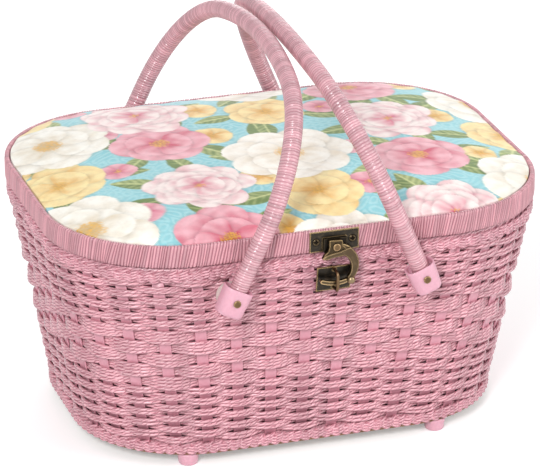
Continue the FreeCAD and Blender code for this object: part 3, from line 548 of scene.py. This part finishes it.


# Hinges: two small butt hinges at the back, a leaf on the border and a leaf on the lid's hoop, with pins.
# They are stamped steel with an antique brass finish, darkened in the hollows by patina and painted shade, and
# rubbed bright on the edges.
def brass_group():
    """Antique brass: a dark patina, lighter by noise, bright metal along the edges, where a normal rounded over
    1.5 mm leaves the surface's own normal, and nearly black in the hollows of the piece itself, found by
    ambient
    occlusion: patina there, with painted shade."""
    tree, take, place = effect("antique_brass", ("Dark", "Bright"), ("Rub",))
    cloud = noise(place, 260.0, 6.0, 0.65)
    scratch = noise(place, 1900.0, 2.0)
    rounded = add(tree, "Bevel", {"Radius": 0.0015}, samples=8)[0]
    plain = add(tree, "NewGeometry")["Normal"]
    same = add(tree, "VectorMath", {0: rounded, 1: plain}, operation="DOT_PRODUCT")["Value"]
    edge = span(same, 0.985, 0.85)
    worn = calc("MULTIPLY_ADD", edge, take["Rub"], span(cloud, 0.5, 0.8, 0.0, 0.14))
    metal = mixed(add(tree, "Clamp", {0: worn})[0], take["Dark"], take["Bright"])
    # Patina and painted shade: the hollows of the piece, found by ambient occlusion, go nearly black.
    patina_and_shade = add(tree, "AmbientOcclusion", {"Distance": 0.003}, samples=8, only_local=True)["AO"]
    colour = mixed(span(patina_and_shade, 0.35, 0.85), paint(30, 26, 22), metal)
    return given(tree, colour, span(cloud, 0.0, 1.0, 0.2, 0.46), scratch)


BRASS = brass_group()


def brass_finish(name, dark, bright, rub):
    """A metal material from the antique brass group."""
    made, tree, sockets = finish(name, Metallic=1.0)
    lay(tree, sockets, BRASS, {"Dark": paint(*dark), "Bright": paint(*bright), "Rub": rub}, 0.3, 0.00005)
    return made


antique = brass_finish("antique_plate", (56, 52, 47), (206, 174, 124), rub=1.3)
antique_rubbed = brass_finish("antique_rubbed", (68, 57, 43), (206, 174, 124), rub=1.1)


def ease_edges(thing, radius):
    """Merges a fitting's loose triangles and rolls its sharp edges to a radius in mm."""
    merge = thing.modifiers.new("merge", "WELD")
    merge.merge_threshold = 0.00001
    roll = thing.modifiers.new("roll", "BEVEL")
    roll.width = radius * 0.001
    roll.segments = 3
    roll.limit_method = "ANGLE"
    roll.angle_limit = math.radians(35)
    roll.harden_normals = True


def eased(node, material, body, radius):
    """A stamped or cast fitting: the CAD node's own mesh, merged, with its sharp edges rolled by a bevel."""
    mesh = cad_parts[node].data.copy()
    mesh.name = node + "_eased"
    ease_edges(piece(mesh, material, body, "antique_brass", node), radius)
    return mesh


eased("basket_hinge_leaves", antique, "basket", 0.25)
eased("lid_hinge_leaves", antique, "lid", 0.25)
for node in ("hinge_pins", "basket_hinge_screws", "lid_hinge_screws"):
    dress(node, antique_rubbed)


# Lid board: a sheet of hardboard set into the hoop, which carries the padding above and the lining below.
# The board is hidden; the lining is the same cotton as inside the basket.
LID = (160.0, 122.0, 81.0)


def lid_in(inset):
    """The lid's outline moved in by inset, in mm."""
    return tuple(size - inset for size in LID)


dress("lid_board", hardboard)
under = surface("lid_lining_cloth", pillow(lid_in(3.75), low=150.0, high=148.4), caps=True)
piece(under, lining_cotton, "lid", "lining_cloth", "lid_lining")


# Lid hoop: a bent strip wound all the way round with soft yarn, so that every wrap stands as a small ridge.
# The wraps lean a little, some more and some less, as they do when a hoop is wound by hand.
WRAPS = 545
WRAP_STEPS = 4
RIM_SIDES = 24
WOUND = {"Pitch": 1.0, "Plies": 0.0, "Slack": 0.0}
RIM_MIDDLE, RIM_HALF_TALL, RIM_HALF_DEEP = 152.8, 7.2, 1.8


def wound_hoop():
    """A rounded section, a superellipse of power 6, carried round the lid's outline. Each wrap is
    |sin(pi phase)| ^ 0.7 high with phase counting the wraps, which differ in width and depth, and the columns
    lean with the wraps, by about 2 mm from bottom to top."""
    turn = 2 * np.pi * shares(RIM_SIDES)[:, None]
    reach = (np.cos(turn) ** 6 + np.sin(turn) ** 6) ** (-1 / 6)
    across, upright = reach * np.cos(turn), reach * np.sin(turn)
    phase = np.arange(WRAPS * WRAP_STEPS)[None, :] / WRAP_STEPS
    rng = np.random.default_rng(11)
    width = rng.uniform(0.75, 1.25, WRAPS)
    knots = np.concatenate([[0], np.cumsum(width)]) / width.sum()
    thick = np.repeat(rng.uniform(0.4, 1.6, WRAPS), WRAP_STEPS)
    ridge = 0.65 * thick * (np.abs(np.sin(np.pi * phase)) ** 0.7 - 1.0)
    lean = np.repeat(rng.uniform(0.2, 2.2, WRAPS), WRAP_STEPS)
    lean = np.convolve(np.tile(lean, 3), np.ones(13) / 13, "same")[len(lean):2 * len(lean)]
    share = (np.interp(phase, np.arange(WRAPS + 1), knots) + 0.0011 * lean * upright) % 1.0
    height = RIM_MIDDLE + (RIM_HALF_TALL + ridge * 0.6) * upright
    return np.swapaxes(hoop(lid_in(RIM_HALF_DEEP), height, share, (RIM_HALF_DEEP + ridge) * across), 0, 1)


hoop_yarn = yarn_finish("hoop_yarn", (224, 168, 176), (152, 82, 99), WOUND, gloss=0.26, faded=0.78,
                        depth=0.0003)
wound = surface("lid_hoop_winding", wound_hoop(), (True, True), along=WRAPS, around=36.0)
piece(wound, hoop_yarn, "lid", "rim_cord", "lid_rim")


# Lid pad: wadding under printed cotton, drawn down tight inside the hoop, so that the top is gently crowned.
# The print is a plain garden floral: large cream, pink and yellow blooms and leaves on a turquoise ground.
def dye(red, green, blue):
    """A printing colour: three linear numbers."""
    return np.array(paint(red, green, blue)[:3])


PAD_SIDE = 300
PAD_EDGE, PAD_LOW = 160.0, 154.2
PAD_RISE, PAD_SLOPE, PAD_REACH = 8.2, 56.0, 130.0
WADDING_SIDE = 76
WADDING_PUSH = 3.0
GROUND, GROUND_PALE = dye(134, 203, 212), dye(178, 224, 229)
CREAM, CREAM_DEEP = dye(253, 250, 241), dye(224, 210, 186)
ROSE, ROSE_PALE, ROSE_DEEP, CORAL = dye(244, 188, 198), dye(253, 238, 234), dye(214, 100, 130), dye(204, 66, 98)
BUTTER, BUTTER_DEEP = dye(252, 232, 172), dye(224, 166, 74)
LEAF, LEAF_DEEP = dye(208, 216, 150), dye(106, 132, 66)
STAMEN = dye(222, 170, 62)
# Each kind of bloom has a size in mm, rings, outer petals, a light and a deep colour, a tone and a heart in mm.
BLOOMS = ((39, 2, 7, CREAM, CREAM_DEEP, 0.9, 8.5), (37, 4, 8, ROSE_PALE, ROSE_DEEP, 0.85, 2.5),
          (29, 2, 6, BUTTER, BUTTER_DEEP, 0.75, 4.5), (34, 2, 6, ROSE, CORAL, 0.9, 5.5))
REPEAT_X, REPEAT_Y = 74.0, 66.0


def disc_grid(side):
    """A square grid laid on the lid's rounded outline: each square ring becomes a smaller copy of the outline.
    Gives the share of the outline reached (0 in the middle, 1 at the edge) and the way round."""
    line = np.linspace(-1, 1, side)
    across, away = np.meshgrid(line, line, indexing="ij")
    reach = np.maximum(np.abs(across), np.abs(away))
    far = np.where(reach > 0, reach, 1)
    a, b = across / far, away / far
    quarter = np.where(np.abs(b) >= np.abs(a), np.where(b < 0, a, 4 - a), np.where(a > 0, 2 + b, 6 - b))
    return reach, (quarter / 8) % 1.0


def pad_top(side):
    """The crowned top: at a distance d inside the edge the cloth has risen 8.2 (1 - (1 - d / 56) ^ 3), with
    faint drawn-in waves close to the hoop."""
    reach, share = disc_grid(side)
    x, y = oval(lid_in(4.0), share)[:2]
    inside = (1 - reach) * PAD_REACH
    rise = PAD_RISE * (1 - (1 - np.clip(inside / PAD_SLOPE, 0, 1)) ** 3)
    waves = 0.25 * np.sin(2 * np.pi * 46 * share) + 0.2 * np.sin(2 * np.pi * 29 * share + 1)
    return xyz(x * reach, y * reach, PAD_EDGE + rise + np.exp(-inside / 9.0) * waves)


def smooth(edge, soft):
    """0 outside, 1 inside, with a cubic step of the given softness."""
    t = np.clip(edge / soft + 0.5, 0, 1)[..., None]
    return t * t * (3 - 2 * t)


def wash(x, y, turn):
    """A slow watercolour cloud from 0 to 1: a product of two bent sines."""
    first = np.sin(0.17 * x + 1.4 * np.sin(0.13 * y + turn))
    return 0.5 + 0.5 * first * np.sin(0.15 * y + 1.2 * np.sin(0.11 * x - turn))


def laid_along(x, y, root, turn):
    """Distances along and beside a line from its root, in the direction of the turn."""
    dx, dy = x - root[0], y - root[1]
    return dx * math.cos(turn) + dy * math.sin(turn), dy * math.cos(turn) - dx * math.sin(turn)


def petal(ink, x, y, root, long, wide, turn, light, deep, tone):
    """Paints one petal. Along its line t runs from 0 at the root to 1 at the tip, and its half width is
    wide sqrt(sin(pi t ^ 1.5)). Its colour runs from deep at the root, along fine veins and on one side, to
    light at the edge, and a soft shade falls round it on what lies below."""
    along, beside = laid_along(x, y, root, turn)
    t = np.clip(along / long, 0, 1)
    half = wide * np.sqrt(np.sin(np.pi * t ** 1.5))
    edge = half - np.abs(beside) - np.maximum(along - long, 0) - np.maximum(-along, 0)
    inside = smooth(edge, 1.0)
    ink = ink * (1 - 0.2 * np.exp(-np.maximum(-edge, 0) / 2.0)[:, None] * (1 - inside))
    across = beside / np.maximum(half, 1.0)
    vein = 0.5 + 0.5 * np.sin(9 * across + 2 * np.sin(5 * t + turn))
    cloud = wash(2 * x, 2 * y, turn)
    mix = 1.1 * (1 - t) ** 1.4 + 0.3 * vein * (1 - t) + 0.4 * np.clip(across, 0, 1) ** 2 + 0.5 * cloud - 0.25
    mix = np.clip(tone * mix, 0, 1)[:, None]
    return ink + inside * (light * (1 - mix) + deep * mix - ink)


def bloom(ink, x, y, at, size, rings, petals, light, deep, tone, heart, turn, rng):
    """Paints an open bloom on the points near it: rings of petals from the outer ring in, each smaller and with
    a petal less, then a speckled heart."""
    near = np.hypot(x - at[0], y - at[1]) < 1.15 * size
    px, py, part = x[near], y[near], ink[near]
    for ring in range(rings):
        count = petals - ring
        reach = size * (1 - 0.7 * ring / rings)
        wide = 0.85 * reach * math.tan(math.pi / count)
        for k in range(count):
            around = turn + 0.5 * ring + 2 * math.pi * k / count + rng.uniform(-0.12, 0.12)
            long = reach * rng.uniform(0.9, 1.08)
            part = petal(part, px, py, at, long, wide, around, light, deep, tone)
    dx, dy = px - at[0], py - at[1]
    speck = np.sin(2.1 * dx + 1.7 * np.sin(1.9 * dy)) * np.sin(2.3 * dy + 1.3 * np.sin(1.6 * dx))
    speck = 0.5 + 0.5 * speck
    dots = smooth(heart - np.hypot(dx, dy) + 4.0 * (speck - 0.5), 1.2) * (0.4 + 0.6 * speck)[:, None]
    ink[near] = part + dots * (STAMEN * (0.6 + 0.6 * speck)[:, None] - part)


def leaf(ink, x, y, at, length, turn, shade):
    """Paints a leaf: half width 0.24 length sin(pi t) ^ 0.8 (1.15 - 0.4 t) along its line, with a pale rib,
    side veins and a darker half."""
    near = np.hypot(x - at[0], y - at[1]) < 1.05 * length
    px, py, part = x[near], y[near], ink[near]
    along, beside = (distance / length for distance in laid_along(px, py, at, turn))
    t = np.clip(along, 0, 1)
    half = 0.24 * np.sin(np.pi * t) ** 0.8 * (1.15 - 0.4 * t)
    inside = smooth((half - np.abs(beside)) * length, 1.0) * ((along > 0) & (along < 1))[:, None]
    veins = 0.2 + 0.2 * np.sin(38 * (t - 0.9 * np.abs(beside)))
    rib = np.exp(-(beside / 0.025) ** 2)
    mix = shade + (0.35 * wash(3 * px, 3 * py, turn) + veins) * (1 - rib) - 0.4 * rib + 0.3 * (beside > 0)
    mix = np.clip(mix, 0, 1)[:, None]
    ink[near] = part + inside * (LEAF * (1 - mix) + LEAF_DEEP * mix - part)


def print_at(x, y):
    """The printed cloth's colour at points in mm: ground with tone-on-tone swirls, then leaves, then small and
    large blooms, on a half-drop repeat with a seeded shift of each motif."""
    swirl = np.sin(0.35 * x + 2.3 * np.sin(0.16 * y + 0.8 * np.sin(0.11 * x)))
    swirl = swirl * np.cos(0.3 * y + 2.0 * np.sin(0.14 * x))
    tone = smooth(0.24 - np.abs(np.abs(swirl) - 0.45), 0.3) * 0.75
    ink = GROUND + tone * (GROUND_PALE - GROUND)
    ink = ink + 0.35 * wash(0.5 * x, 0.5 * y, 1.0)[..., None] * (GROUND_PALE - ink)
    rng = np.random.default_rng(29)
    places = []
    for column in range(-3, 4):
        for step in range(-3, 4):
            at = np.array([REPEAT_X * column + 12, REPEAT_Y * step + REPEAT_Y / 2 * (column % 2) - 14])
            at = at + rng.uniform(-7, 7, 2)
            places.append((at, (column + 2 * step) % 4, rng.uniform(0, 6.28), rng.uniform(0.92, 1.1)))
    for at, _, turn, scale in places:
        for k in range(4):
            away = turn + 1.57 * k + rng.uniform(-0.3, 0.3)
            root = at + 24 * scale * np.array([math.cos(away), math.sin(away)])
            leaf(ink, x, y, root, rng.uniform(26, 38), away + rng.uniform(-0.5, 0.5), rng.uniform(0.1, 0.55))
    for at, kind, turn, _ in places:
        beside = at + np.array([REPEAT_X / 2, 0.0]) + rng.uniform(-4, 4, 2)
        colours = (BUTTER, BUTTER_DEEP) if kind % 2 else (ROSE, ROSE_DEEP)
        bloom(ink, x, y, beside, rng.uniform(11, 15), 1, 5, *colours, 0.9, 2.0, turn, rng)
    for at, kind, turn, scale in places:
        bloom(ink, x, y, at, BLOOMS[kind][0] * scale, *BLOOMS[kind][1:], turn, rng)
    return ink


def vertex_spots(mesh):
    """A mesh's points, in mm."""
    spots = np.zeros(len(mesh.vertices) * 3)
    mesh.vertices.foreach_get("co", spots)
    return spots.reshape(-1, 3) * 1000


def swelled(top, side, most):
    """The wadding's push: Blender's cloth under pressure on a coarse copy of the top, held along its edge, for
    20 frames. Each point's movement is scaled down to at most so many mm, and carried over to the fine grid by
    straight interpolation: a coarse point counts 1 less its distance, down to 0, in rows and in columns."""
    coarse = pad_top(side)
    thing = placed("wadding", surface("wadding", coarse, (False, False), flip=True))
    index = np.arange(side * side).reshape(side, side)
    rim = np.unique(np.concatenate([index[0], index[-1], index[:, 0], index[:, -1]]))
    thing.vertex_groups.new(name="held").add(rim.tolist(), 1.0, "REPLACE")
    cloth = thing.modifiers.new("cloth", "CLOTH").settings
    cloth.vertex_group_mass = "held"
    cloth.use_pressure = True
    cloth.uniform_pressure_force = 4.0
    cloth.effector_weights.gravity = 0.0
    cloth.quality = 6
    for step in range(1, 21):
        bpy.context.scene.frame_set(step)
    moved = vertex_spots(thing.evaluated_get(bpy.context.evaluated_depsgraph_get()).to_mesh())
    bpy.context.scene.frame_set(1)
    bpy.data.objects.remove(thing)
    push = moved.reshape(coarse.shape) - coarse
    push = push * min(1.0, most / np.linalg.norm(push, axis=-1).max())
    apart = np.abs(np.linspace(0, side - 1, len(top))[:, None] - np.arange(side))
    carry = np.maximum(1 - apart, 0)
    return top + np.einsum("ai,bj,ijk->abk", carry, carry, push, optimize=True)


top = pad_top(PAD_SIDE)
top = swelled(top, WADDING_SIDE, WADDING_PUSH)
edge = np.concatenate([top[:-1, 0], top[-1, :-1], top[:0:-1, -1], top[0, :0:-1]])
skirt = np.stack([edge, edge * [1, 1, 0] + [0, 0, PAD_LOW]])
pad_mesh = joined("padded_print", [surface("face", top, (False, False), flip=True), surface("sides", skirt)])
spots = vertex_spots(pad_mesh)
ink = np.concatenate([print_at(spots[:, 0], spots[:, 1]), np.ones((len(spots), 1))], 1)
pad_mesh.color_attributes.new("print", "FLOAT_COLOR", "POINT").data.foreach_set("color", ink.ravel())
printed_cotton = cloth_finish("printed_cotton", "print", threads=5600.0, depth=0.00008)
pad = piece(pad_mesh, printed_cotton, "lid", "lid_cloth", "lid_pad")


# Clasp plates: one with a raised boss on the hoop, and one below it that carries the staple.
# They are stamped in antique brass, rubbed bright along the edges, and the boss is painted dark as the shadow
# round the hook's head.
PLATE_FRONT = -123.0


def face_middles(mesh):
    """The middle of every face of a mesh, in mm."""
    return np.array([face.center for face in mesh.polygons]) * 1000


clasp_plate = eased("clasp_plate", antique, "lid", 0.3)
# Painted shadow: the boss's faces get a near-black brass that stands for the shadow round the hook's head.
boss_painted_shadow = brass_finish("boss_painted_shadow", (38, 34, 30), (92, 80, 62), rub=0.5)
second_finish(clasp_plate, boss_painted_shadow, face_middles(clasp_plate)[:, 1] < PLATE_FRONT - 0.1)
eased("catch_plate", antique, "basket", 0.3)
coppery = brass_finish("coppery_brass", (112, 90, 66), (196, 164, 122), rub=0.9)
dress("catch_staple", coppery)


# Hook: a swing hook cast in brass, with a flared head on the rivet, a full round bar, a knob for the thumb and
# a tail that lies in the staple. The head and the bar stand a little proud of the flat hook of the CAD.
HOOK_PIVOT = np.array([2.4, 150.1])
HOOK_FRONT, HOOK_BACK = -127.5, -125.1
HOOK_OUTER, HOOK_INNER = (0.22, -12.21, 14.15), (0.0, -14.23, 9.45)
KNOB, KNOB_REACH = (9.35, -0.3, -22.63), 2.8
HEAD_OUTLINE = [(-4.8, 4.2), (-4.2, 4.7), (3.2, 4.3), (3.9, 3.7), (4.3, 0.6), (6.2, -1.4), (8.4, -3.4),
                (6.6, -6.0), (2.0, -5.8), (-2.4, -6.0), (-6.8, -6.8), (-8.4, -6.8), (-8.6, -6.2), (-7.6, -4.6),
                (-5.4, -2.4), (-4.7, 0.4)]


def cast_through(outline, front):
    """A cast outline (x, z) about the hook's pivot, carried from the hook's back to the front level."""
    x, z = (np.array(outline) + HOOK_PIVOT).T
    depth = np.array([HOOK_BACK - 0.1, front])[:, None]
    return xyz(x, depth, z)


def hook_arc(circle, first, last, count):
    """Points on an arc given as centre x, centre z and radius, between two angles in degrees."""
    turn = np.radians(np.linspace(first, last, count))
    return np.stack([circle[0] + circle[2] * np.cos(turn), circle[1] + circle[2] * np.sin(turn)], -1)


def hook_bar():
    """The hook's full bar: a tip at the lower left, along under the rivet, then the crescent between an outer
    and an inner arc, down to the knob."""
    upper = [(-8.9, -7.5), (-9.1, -6.6), (-7.7, -5.3), (-4.6, -4.2), (-1.0, -3.5), (2.6, -2.9), (5.6, -1.8)]
    lower = [(2.4, -6.4), (-2.4, -6.8), (-6.2, -7.8)]
    return np.concatenate([upper, hook_arc(HOOK_OUTER, 53, -54, 24), hook_arc(HOOK_INNER, -43, 58, 20), lower])


cast_brass = brass_finish("cast_brass", (88, 74, 57), (216, 184, 136), rub=1.2)
bright_knob = brass_finish("bright_knob", (142, 124, 97), (230, 206, 164), rub=1.0)
hook = eased("hook", cast_brass, "hook", 0.5)
knob_at = np.array([HOOK_PIVOT[0], HOOK_FRONT, HOOK_PIVOT[1]]) + np.array(KNOB)
second_finish(hook, bright_knob, np.linalg.norm(face_middles(hook) - knob_at, axis=1) < KNOB_REACH)
for name, outline, proud, radius, metal in (("hook_head", HEAD_OUTLINE, 0.15, 0.5, antique_rubbed),
                                            ("hook_bar", hook_bar(), 0.9, 0.8, cast_brass)):
    cast = surface(name, cast_through(outline, HOOK_FRONT - proud), caps=True)
    ease_edges(piece(cast, metal, "hook", "antique_brass"), radius)


# Clasp screws and hook rivet: two cross-head screws through the plate into the hoop, and a domed rivet that the
# hook turns on. The screws are dull brass, painted black in the cross and round the rim as the shade in those
# recesses.
SCREW_SIDES = 40
DOME_RINGS = 14
CROSS_HALF_WIDE, CROSS_HALF_LONG = 0.48, 1.5
SCREW_PLACES = np.array([(-9.3, 0.0, RIM_MIDDLE), (14.1, 0.0, RIM_MIDDLE)])


def cross_bar(x, z):
    """Distance from a screw's cross recess: 1 at the edge of the nearer of its two bars, less inside."""
    x, z = np.abs(x), np.abs(z)
    return np.minimum(np.maximum(x / CROSS_HALF_WIDE, z / CROSS_HALF_LONG),
                      np.maximum(z / CROSS_HALF_WIDE, x / CROSS_HALF_LONG))


def domed(centre, toward, radius, rise, shank, inward, recess=0.0, flange=1.0):
    """A rivet or screw along Y: a shank, a flat underside and a domed head, height rise (1 - 0.5 (r / R) ^ 2),
    with a cross sunk into it and a flange round it where asked. Rows run from the shank's end out to the rim
    and in to the middle."""
    turn = toward * 2 * np.pi * shares(SCREW_SIDES)
    inner = np.concatenate([[0.4 * shank, shank, shank, flange * radius, radius],
                            radius * np.linspace(0.97, 0.04, DOME_RINGS)])[:, None]
    x, z = inner * np.cos(turn), inner * np.sin(turn)
    away = rise * (1 - 0.5 * (inner / radius) ** 2) - recess * np.clip(2.2 - 1.6 * cross_bar(x, z), 0, 1)
    away[:5] = np.array([-inward, -inward, 0.0, 0.12 * rise, 0.35 * rise])[:, None]
    return xyz(x, toward * away, z) + np.array(centre)


screw = domed((0.0, PLATE_FRONT, 0.0), -1, radius=2.05, rise=0.6, shank=1.2, inward=3.2, recess=0.75,
              flange=1.25)
middle = (screw[:-1] + screw[1:]) / 2
middle = (middle + np.roll(middle, -1, 1)) / 2
row = np.arange(len(middle))[:, None]
# Painted shade: the ring round the rim and the faces in the cross recess are made black, where shade falls in
# them.
shaded_recess_mask = (row == 3) | ((row > 4) & (cross_bar(middle[..., 0], middle[..., 2]) < 1.1))
dull_screw = brass_finish("dull_screw", (84, 74, 58), (150, 126, 92), rub=0.2)
recess_shade_finish = mottled_finish("screw_recess_shade", (40, 35, 30), (22, 19, 16), cloud=300.0, grain=2000.0,
                         depth=0.00002, Metallic=1.0)
cross_screws = surface("clasp_cross_screws", screw + SCREW_PLACES[:, None, None], caps=True)
piece(cross_screws, dull_screw, "lid", "screw_brass", "clasp_screws")
shaded_recess_faces = np.tile(shaded_recess_mask.ravel(), 2)
second_finish(cross_screws, recess_shade_finish, np.pad(shaded_recess_faces, (0, len(cross_screws.polygons) - len(shaded_recess_faces))))
rivet_at = (HOOK_PIVOT[0], HOOK_FRONT - 0.42, HOOK_PIVOT[1])
rivet = domed(rivet_at, -1, radius=2.4, rise=1.0, shank=1.3, inward=5.0)
piece(surface("hook_rivet_head", rivet, caps=True), coppery, "lid", "antique_brass", "hook_rivet")


# Handles: two rods bent to a bow and wound with satin yarn from end to end, each turn beside the last.
# They lean on each other over the lid, and their ends stand in moulded cups that turn on rivets.
BOWS = (("left", -64.779, 25.94), ("right", 57.479, -22.54))
PIVOT_HIGH = 125.7
BOW_Y = 131.56
BOW_LOW, BOW_LEG = 3.05, 46.0
BOW_SHOULDER, BOW_CROWN = 83.0, 292.7
BOW_ROUND = 5.75
BOW_TURNS = 250
BOW_SIDES = 20


def bow_place(points, pivot, tilt):
    """Turns points of an upright bow about its pivot line: x and height swing by the tilt, then the pivot is
    added."""
    lean = math.radians(tilt)
    x = points[..., 0] * math.cos(lean) + points[..., 2] * math.sin(lean) + pivot
    z = points[..., 2] * math.cos(lean) - points[..., 0] * math.sin(lean) + PIVOT_HIGH
    return xyz(x, points[..., 1], z)


def wound_bow():
    """A round rod along a leg, a shoulder arc, a flat top arc, and back down. Each turn of yarn is
    |sin(pi phase)| ^ 0.7 high, the turns differ a little in width and depth, and the rings are sheared by one
    turn's pitch round the rod, so that they follow the winding."""
    spread = math.asin((BOW_Y - BOW_SHOULDER) / (BOW_CROWN - BOW_SHOULDER))
    leg, shoulder = (BOW_LEG - BOW_LOW, 0), (BOW_SHOULDER * (math.pi / 2 - spread), 1 / BOW_SHOULDER)
    runs = [leg, shoulder, (2 * spread * BOW_CROWN, 1 / BOW_CROWN), shoulder, leg]
    total = sum(length for length, curve in runs)
    phase = np.arange(BOW_TURNS * WRAP_STEPS + 1)[:, None] / WRAP_STEPS
    turn = 2 * np.pi * shares(BOW_SIDES)
    rng = np.random.default_rng(7)
    width = rng.uniform(0.7, 1.3, BOW_TURNS)
    knots = np.concatenate([[0], np.cumsum(width)]) / width.sum() * total
    even = np.interp(phase, np.arange(BOW_TURNS + 1), knots)
    way = np.clip(even + total / BOW_TURNS * (turn / (2 * np.pi) - 0.5), 0, total)
    deep = np.append(np.repeat(rng.uniform(0.6, 1.4, BOW_TURNS), WRAP_STEPS), 1.0)[:, None]
    y, z, heading = follow(way, runs, (BOW_Y, BOW_LOW), math.pi / 2)
    ridge = BOW_ROUND + 0.33 * deep * (np.abs(np.sin(np.pi * phase)) ** 0.7 - 1.0)
    out = ridge * np.sin(turn)
    return xyz(ridge * np.cos(turn), y + out * np.sin(heading), z - out * np.cos(heading))


satin_yarn = yarn_finish("satin_yarn", (217, 171, 178), (184, 124, 136), WOUND, gloss=0.08,
                         faded=0.78, depth=0.0002)
upright_bow = wound_bow()
for side, pivot, tilt in BOWS:
    winding = surface(side + "_bow_yarn", bow_place(upright_bow, pivot, tilt), along=BOW_TURNS, around=35.8,
                      caps=True)
    piece(winding, satin_yarn, side + "_handle", "bow_cord", side + "_bow_winding")
    dress(side + "_bow_core", hardboard)


# Sockets: moulded pink cups at the ends of the bows, open at the top, on the pivot rivets.
# They are softly rounded, with a flat front that the rivet's head bears on.
CUP_SIDES = 48
CUP_RINGS = np.array([
    (2.0, 1.6, 1.4, -10.2), (6.0, 4.6, 3.2, -10.2), (7.4, 5.9, 4.2, -9.8), (8.2, 6.6, 4.8, -8.8),
    (8.5, 7.0, 5.2, -7.0), (8.9, 7.0, 5.3, -1.0), (9.3, 7.0, 5.5, 5.0), (9.5, 7.0, 5.5, 7.3),
    (9.3, 6.8, 5.3, 7.7), (9.0, 6.5, 5.0, 7.8), (8.3, 6.3, 4.6, 7.6), (7.9, 5.95, 4.4, 6.9),
    (7.7, 5.9, 4.3, 3.1), (6.0, 4.6, 3.2, 2.95), (1.5, 1.2, 0.9, 2.95)])


def socket_cup(away):
    """Rings of a rounded rectangle up the outside, over the lip and down the bore: each ring has a half width,
    a half depth, a corner and a height, and stands at the rod's distance on its side of the basket."""
    *sizes, height = CUP_RINGS.T[..., None]
    return hoop(sizes, height, shares(CUP_SIDES)) + np.array([0.0, away * BOW_Y, 0.0])


for side, pivot, tilt in BOWS:
    cups = np.stack([bow_place(socket_cup(away), pivot, tilt) for away in (-1, 1)])
    cup_mesh = surface(side + "_socket_cups", cups, caps=True)
    piece(cup_mesh, candy, side + "_handle", "socket_plastic", side + "_sockets")


# Pivot rivets and washers: a brass rivet through each socket and the wall, with a milky plastic washer between
# them and another inside the basket.
RIVET_Y = 138.66
milky = mottled_finish("milky_plastic", (224, 210, 204), (208, 194, 188), cloud=40.0, grain=800.0,
                       depth=0.00004, Roughness=0.3, Coat_Weight=0.1)
dress("spacer_washers", milky)
dress("backing_washers", milky)
rivets = np.stack([
    domed((pivot, RIVET_Y * away, PIVOT_HIGH), away, radius=2.4, rise=1.3, shank=1.2, inward=24.0)
    for _, pivot, _ in BOWS for away in (-1, 1)])
piece(surface("pivot_rivet_heads", rivets, caps=True), coppery, "basket", "antique_brass", "pivot_rivets")


# Studio: a pale floor, three large soft lamps and a plain sky, with the camera where the photograph was taken.
# The lamps stand in front on the left, in front on the right and, weaker, behind.
FLOOR_LIFT = 0.3
SKY_LIGHT = 0.47
LAMPS = (("key", (-1.3, -2.1, 1.7), 55.0, 0.8), ("fill", (1.9, -1.4, 1.2), 24.0, 1.4),
         ("back", (0.9, 2.3, 1.1), 26.0, 1.8))
LAMPS_AIM = (0.0, 0.0, 0.1)
AZIMUTH, ELEVATION = math.radians(-18.03), math.radians(22.92)
DISTANCE, AIM_HIGH = 2.51087, 0.09


def seen_straight(tree):
    """1 for rays from the camera, from gloss and through glass, and 0 for the light that falls on things."""
    rays = add(tree, "LightPath")
    straight = calc("MAXIMUM", rays["Is Camera Ray"], rays["Is Glossy Ray"])
    return calc("MAXIMUM", straight, rays["Is Transmission Ray"])


bpy.ops.mesh.primitive_plane_add(size=14)
floor = bpy.context.object
floor.name = "floor"
paper, tree, sockets = finish("floor_paper", Roughness=0.9, Specular_IOR_Level=0.1,
                              Base_Color=paint(244, 244, 244), Emission_Color=(1, 1, 1, 1))
tree.links.new(calc("MULTIPLY", seen_straight(tree), FLOOR_LIFT), sockets["Emission Strength"])
floor.data.materials.append(paper)

sky = bpy.data.worlds.new("sky")
bpy.context.scene.world = sky
sky.use_nodes = True
backing = sky.node_tree.nodes["Background"].inputs
backing["Color"].default_value = (1, 1, 1, 1)
level = span(seen_straight(sky.node_tree), 0.0, 1.0, SKY_LIGHT, 1.0)
sky.node_tree.links.new(level, backing["Strength"])

for name, place, power, size in LAMPS:
    lamp = bpy.data.lights.new(name, "AREA")
    lamp.energy = power
    lamp.size = size
    light = placed(name, lamp)
    light.location = place
    toward = np.array(LAMPS_AIM) - np.array(place)
    light.rotation_euler = (math.pi - math.acos(toward[2] / np.linalg.norm(toward)), 0.0,
                            math.atan2(toward[1], toward[0]) - math.pi / 2)

lens = bpy.data.cameras.new("camera")
lens.sensor_width = 36.0
lens.lens = 260.1
lens.shift_x = 0.0033
lens.shift_y = 0.0507
lens.clip_end = 50.0
camera = placed("camera", lens)
camera.location = (DISTANCE * math.sin(AZIMUTH) * math.cos(ELEVATION),
                   -DISTANCE * math.cos(AZIMUTH) * math.cos(ELEVATION),
                   AIM_HIGH + DISTANCE * math.sin(ELEVATION))
camera.rotation_euler = (math.pi / 2 - ELEVATION, 0.0, AZIMUTH)
bpy.context.scene.camera = camera
bpy.context.scene.view_settings.view_transform = "Standard"
